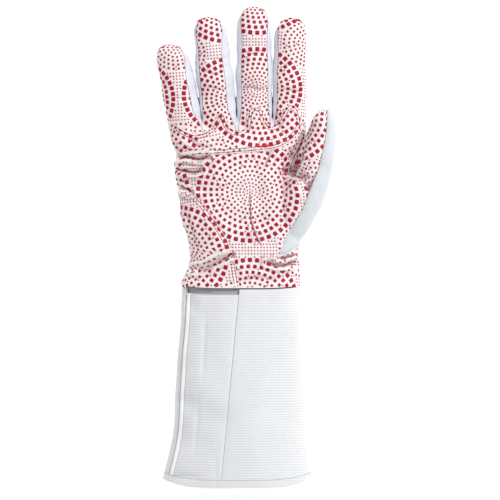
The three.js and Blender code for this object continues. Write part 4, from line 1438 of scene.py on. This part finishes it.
def addDot(vertices, faces, ring, middle, size, lift, whole):
    centre = ring.mean(axis=0)
    normal = np.cross(ring - centre, np.roll(ring, -1, axis=0) - centre).sum(axis=0)
    area = np.linalg.norm(normal) / 2
    if area < raised["leastArea"]:
        return
    normal /= 2 * area
    top = lift + raised["height"]
    crown = centre + normal * top
    if whole:
        crown = crown + normal * max((middle - centre) @ normal, 0)
    base, n = len(vertices), len(ring)
    vertices += (ring + normal * (lift - raised["sunk"])).tolist()
    vertices += (ring + normal * (top - raised["bevel"])).tolist()
    vertices += (centre + (ring - centre) * (1 - raised["inset"] / max(size, 0.5)) + normal * top).tolist()
    vertices.append((crown + normal * raised["dome"]).tolist())
    for i in range(n):
        j = (i + 1) % n
        faces.append((base + i, base + j, base + n + j, base + n + i))
        faces.append((base + n + i, base + n + j, base + 2 * n + j, base + 2 * n + i))
        faces.append((base + 2 * n + i, base + 2 * n + j, base + 3 * n))


def sideFields(points, region):
    x, y, z = points.T
    field = z - handMid(y) - 0.8
    if region in fingers:
        finger = fingers[region]
        for side, wide in ((-1, finger["lowSide"]), (1, finger["highSide"])):
            if wide:
                inside = side * (stripEdge(finger, side, y) - x) - 0.35
                field = np.where(y < finger["reach"] * hand["length"] - 3.5, np.minimum(field, inside), field)
    return field


def palmFields(points, region):
    x, y, z = points.T
    return np.column_stack([
        -lineField(thumbBackLine, x, y) - 0.4,
        -lineField(crookLine, x, y) - 0.4,
        sideFields(points, region),
        -outlineField(yokeRing, x, y) - 0.3,
        lineField(heelLine, x, y) - 0.3,
        y - 0.6,
    ])


palmDots = latticeDots("palm", (-75, 62, -2, 121))
for name, finger in fingers.items():
    ends = [fingerCentre(finger, 118.0), fingerCentre(finger, finger["reach"] * hand["length"])]
    area = (min(ends) - 17, max(ends) + 17, 121, 224)
    palmDots += [dot for dot in latticeDots(name, area) if fingerOf(dot[0], dot[1]) == name]
palmPrint = dotsPiece("palm_print", palmDots, fingerOf, palmFields, 0.0)
print("palm print", len(palmPrint.data.polygons), round(time.time() - started, 1))


def yokeFields(points, region):
    x, y, z = points.T
    return np.column_stack([outlineField(yokeRing, x, y) - 0.5, z - handMid(y) - 5.6])


def heelFields(points, region):
    x, y, z = points.T
    return np.column_stack([-lineField(heelLine, x, y) - 0.5, y - 0.6, z - handMid(y) - 5.6])


def thumbFields(points, region):
    x, y, z = points.T
    return np.column_stack([
        -lineField(thumbBackLine, x, y) - 0.4, lineField(crookLine, x, y) - 0.4, z - handMid(y) - 0.8])


patchTop = patch["lift"] + patch["wall"]
yokeDots = latticeDots("yoke", (-70, 50, 98, 142))
yokePrint = dotsPiece("yoke_print", yokeDots, fingerOf, yokeFields, patchTop)
heelDots = latticeDots("heel", (-62, 4, -2, 84))
heelPrint = dotsPiece("heel_print", heelDots, lambda u, v: "palm", heelFields, patchTop)
thumbDots = latticeDots("thumb", (20, 80, 58, 142))
thumbPrint = dotsPiece("thumb_print", thumbDots, lambda u, v: "thumb", thumbFields, 0.0)
print("prints", round(time.time() - started, 1))


# Stitches: short raised threads along a line seen from above
def stitchRow(line, vertices, faces, lift, pitch=2.3, long=2.2, thick=0.3):
    step = np.linalg.norm(np.diff(line, axis=0), axis=1)
    along = np.concatenate([[0], np.cumsum(step)])
    place = np.arange(pitch / 2, along[-1], pitch)
    for s in place:
        spine = []
        for share in (-0.5, -0.38, -0.13, 0.13, 0.38, 0.5):
            x = np.interp(s + share * long, along, line[:, 0])
            y = np.interp(s + share * long, along, line[:, 1])
            z = heightAt(np.array([x]), np.array([y]))[0]
            if z < 1:
                break
            spine.append((x, y, z + lift + 0.1 * (1 - (2 * share) ** 2)))
        if len(spine) < 6:
            continue
        spine = np.array(spine)
        forward = spine[-1] - spine[0]
        forward /= np.linalg.norm(forward)
        side = np.cross(forward, [0, 0, 1.0])
        side /= np.linalg.norm(side)
        upward = np.cross(side, forward)
        base = len(vertices)
        for point, girth in zip(spine, (0.35, 0.8, 1, 1, 0.8, 0.35)):
            for k in range(6):
                angle = 2 * math.pi * k / 6
                spoke = math.cos(angle) * side + math.sin(angle) * upward
                vertices.append((point + thick * girth * spoke).tolist())
        for r in range(5):
            for k in range(6):
                a, b = base + r * 6 + k, base + r * 6 + (k + 1) % 6
                faces.append((a, b, b + 6, a + 6))
        faces.append(tuple(base + k for k in range(6))[::-1])
        faces.append(tuple(base + 30 + k for k in range(6)))


stitches, stitchFaces = [], []
yokeLoop = np.vstack([yokeRing, yokeRing[:1]])
inwards = 1 if np.mean(outlineField(yokeRing, *shifted(yokeLoop, 1.0).T)) > 0 else -1
for inset in (1.1, 3.2):
    row = shifted(yokeLoop, inwards * inset)
    row = row[(row[:, 0] > -57) & (row[:, 0] < 44)]
    breaks = np.where(np.linalg.norm(np.diff(row, axis=0), axis=1) > 4)[0]
    for part in np.split(row, breaks + 1):
        if len(part) > 3:
            stitchRow(part, stitches, stitchFaces, patchTop)
for inset in (-1.1, -3.2):
    row = shifted(heelLine, inset)
    row = row[(row[:, 0] > -50) & (row[:, 1] > 0.5)]
    stitchRow(row, stitches, stitchFaces, patchTop)
row = shifted(crookLine, 1.0)
row = row[(row[:, 1] < 121) & (row[:, 1] > 76) & (row[:, 0] < 60)]
stitchRow(row, stitches, stitchFaces, 0.0)
seamStitches = makeObject("red_stitches", stitches, stitchFaces, redThread)
tacks, tackFaces = [], []
rng = np.random.default_rng(4)
for i in range(15):
    x, y = 8.6 + 0.9 * i, 106.3 + 0.16 * i + rng.uniform(-1.1, 1.1)
    lean = rng.uniform(-0.5, 0.5)
    slant = np.array([[x - 1.6, y - lean], [x + 1.6, y + lean]])
    stitchRow(slant, tacks, tackFaces, patchTop, 3.2, 3.0, 0.33)
tackStitches = makeObject("red_tack", tacks, tackFaces, brightThread)
print("stitches", round(time.time() - started, 1))

bpy.data.objects.remove(outer)

# What each piece stands for
standsFor = [
    (palmFront, ["palm_front"], "printed_leather"), (handBack, ["hand_back"], "padded_cloth"),
    (thumbFront, ["thumb_front"], "printed_leather"), (thumbBack, ["thumb_back"], "padded_cloth"),
    (yoke, ["yoke_patch"], "printed_leather"), (heel, ["heel_patch"], "printed_leather"),
    (band, ["wrist_band"], "elastic_band"), (cuffInner, ["cuff_front_inner"], "ribbed_cloth"),
    (cuffOuter, ["cuff_front_outer"], "ribbed_cloth"), (cuffBack, ["cuff_back"], "ribbed_cloth"),
    (hem, ["cuff_hem"], "binding_tape"), (binding, ["slit_binding"], "binding_tape"),
    (underlap, ["slit_underlap"], "padded_cloth"), (palmPrint, [], "printed_leather"),
    (yokePrint, [], "printed_leather"), (heelPrint, [], "printed_leather"),
    (thumbPrint, [], "printed_leather"), (seamStitches, [], "printed_leather"),
    (tackStitches, [], "printed_leather"),
]
for pair in gaps:
    standsFor.append((strips[pair], ["fourchette_" + "_".join(pair)], "white_leather"))
for piece, nodes, slot in standsFor:
    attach(piece, "root")
    if nodes:
        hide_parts(*nodes)

# Floor, light and camera
floorLook = {"Base Color": (0.95, 0.95, 0.95, 1), "Roughness": 1.0, "Specular IOR Level": 0.0,
             "Emission Color": (1, 1, 1, 1), "Emission Strength": 0.5}
floorMesh = bpy.data.meshes.new("floor")
floorMesh.from_pydata([(-3, -3, 0), (3, -3, 0), (3, 3, 0), (-3, 3, 0)], [], [(0, 1, 2, 3)])
floorMesh.materials.append(nodeMaterial("paper_floor", floorLook)[0])
floor = addObject("floor", floorMesh)

world = bpy.data.worlds.new("studio")
world.use_nodes = True
setInputs(world.node_tree.nodes["Background"], {"Color": (1, 1, 1, 1), "Strength": 0.6})
bpy.context.scene.world = world


keyLight = {"place": (0.8, 0.8, 1.4), "size": 0.55, "power": 21}
light = bpy.data.lights.new("key", "AREA")
light.energy = keyLight["power"]
light.size = keyLight["size"]
lamp = addObject("key", light)
lamp.location = keyLight["place"]
lamp.rotation_euler = (-Vector(keyLight["place"])).to_track_quat("-Z", "Y").to_euler()

bpy.context.scene.view_settings.view_transform = "Standard"
camera = addObject("camera", bpy.data.cameras.new("camera"))
# the photograph is 500 pixels wide and high, and its middle is 5 to the right of x = 0 and 38 above y = 0
photo = {"pixel": 0.76, "across": 500, "middle": (5, 38), "height": 5.0, "gloveTop": 0.02}
target = toFrame([photo["middle"][0] * photo["pixel"], photo["middle"][1] * photo["pixel"], 0.0])
camera.location = (target[0], target[1], photo["height"])
camera.data.sensor_width = 36
camera.data.lens = 36 * (photo["height"] - photo["gloveTop"]) / (photo["across"] * photo["pixel"] * 0.001)
bpy.context.scene.camera = camera

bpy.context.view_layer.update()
print("done", round(time.time() - started, 1))
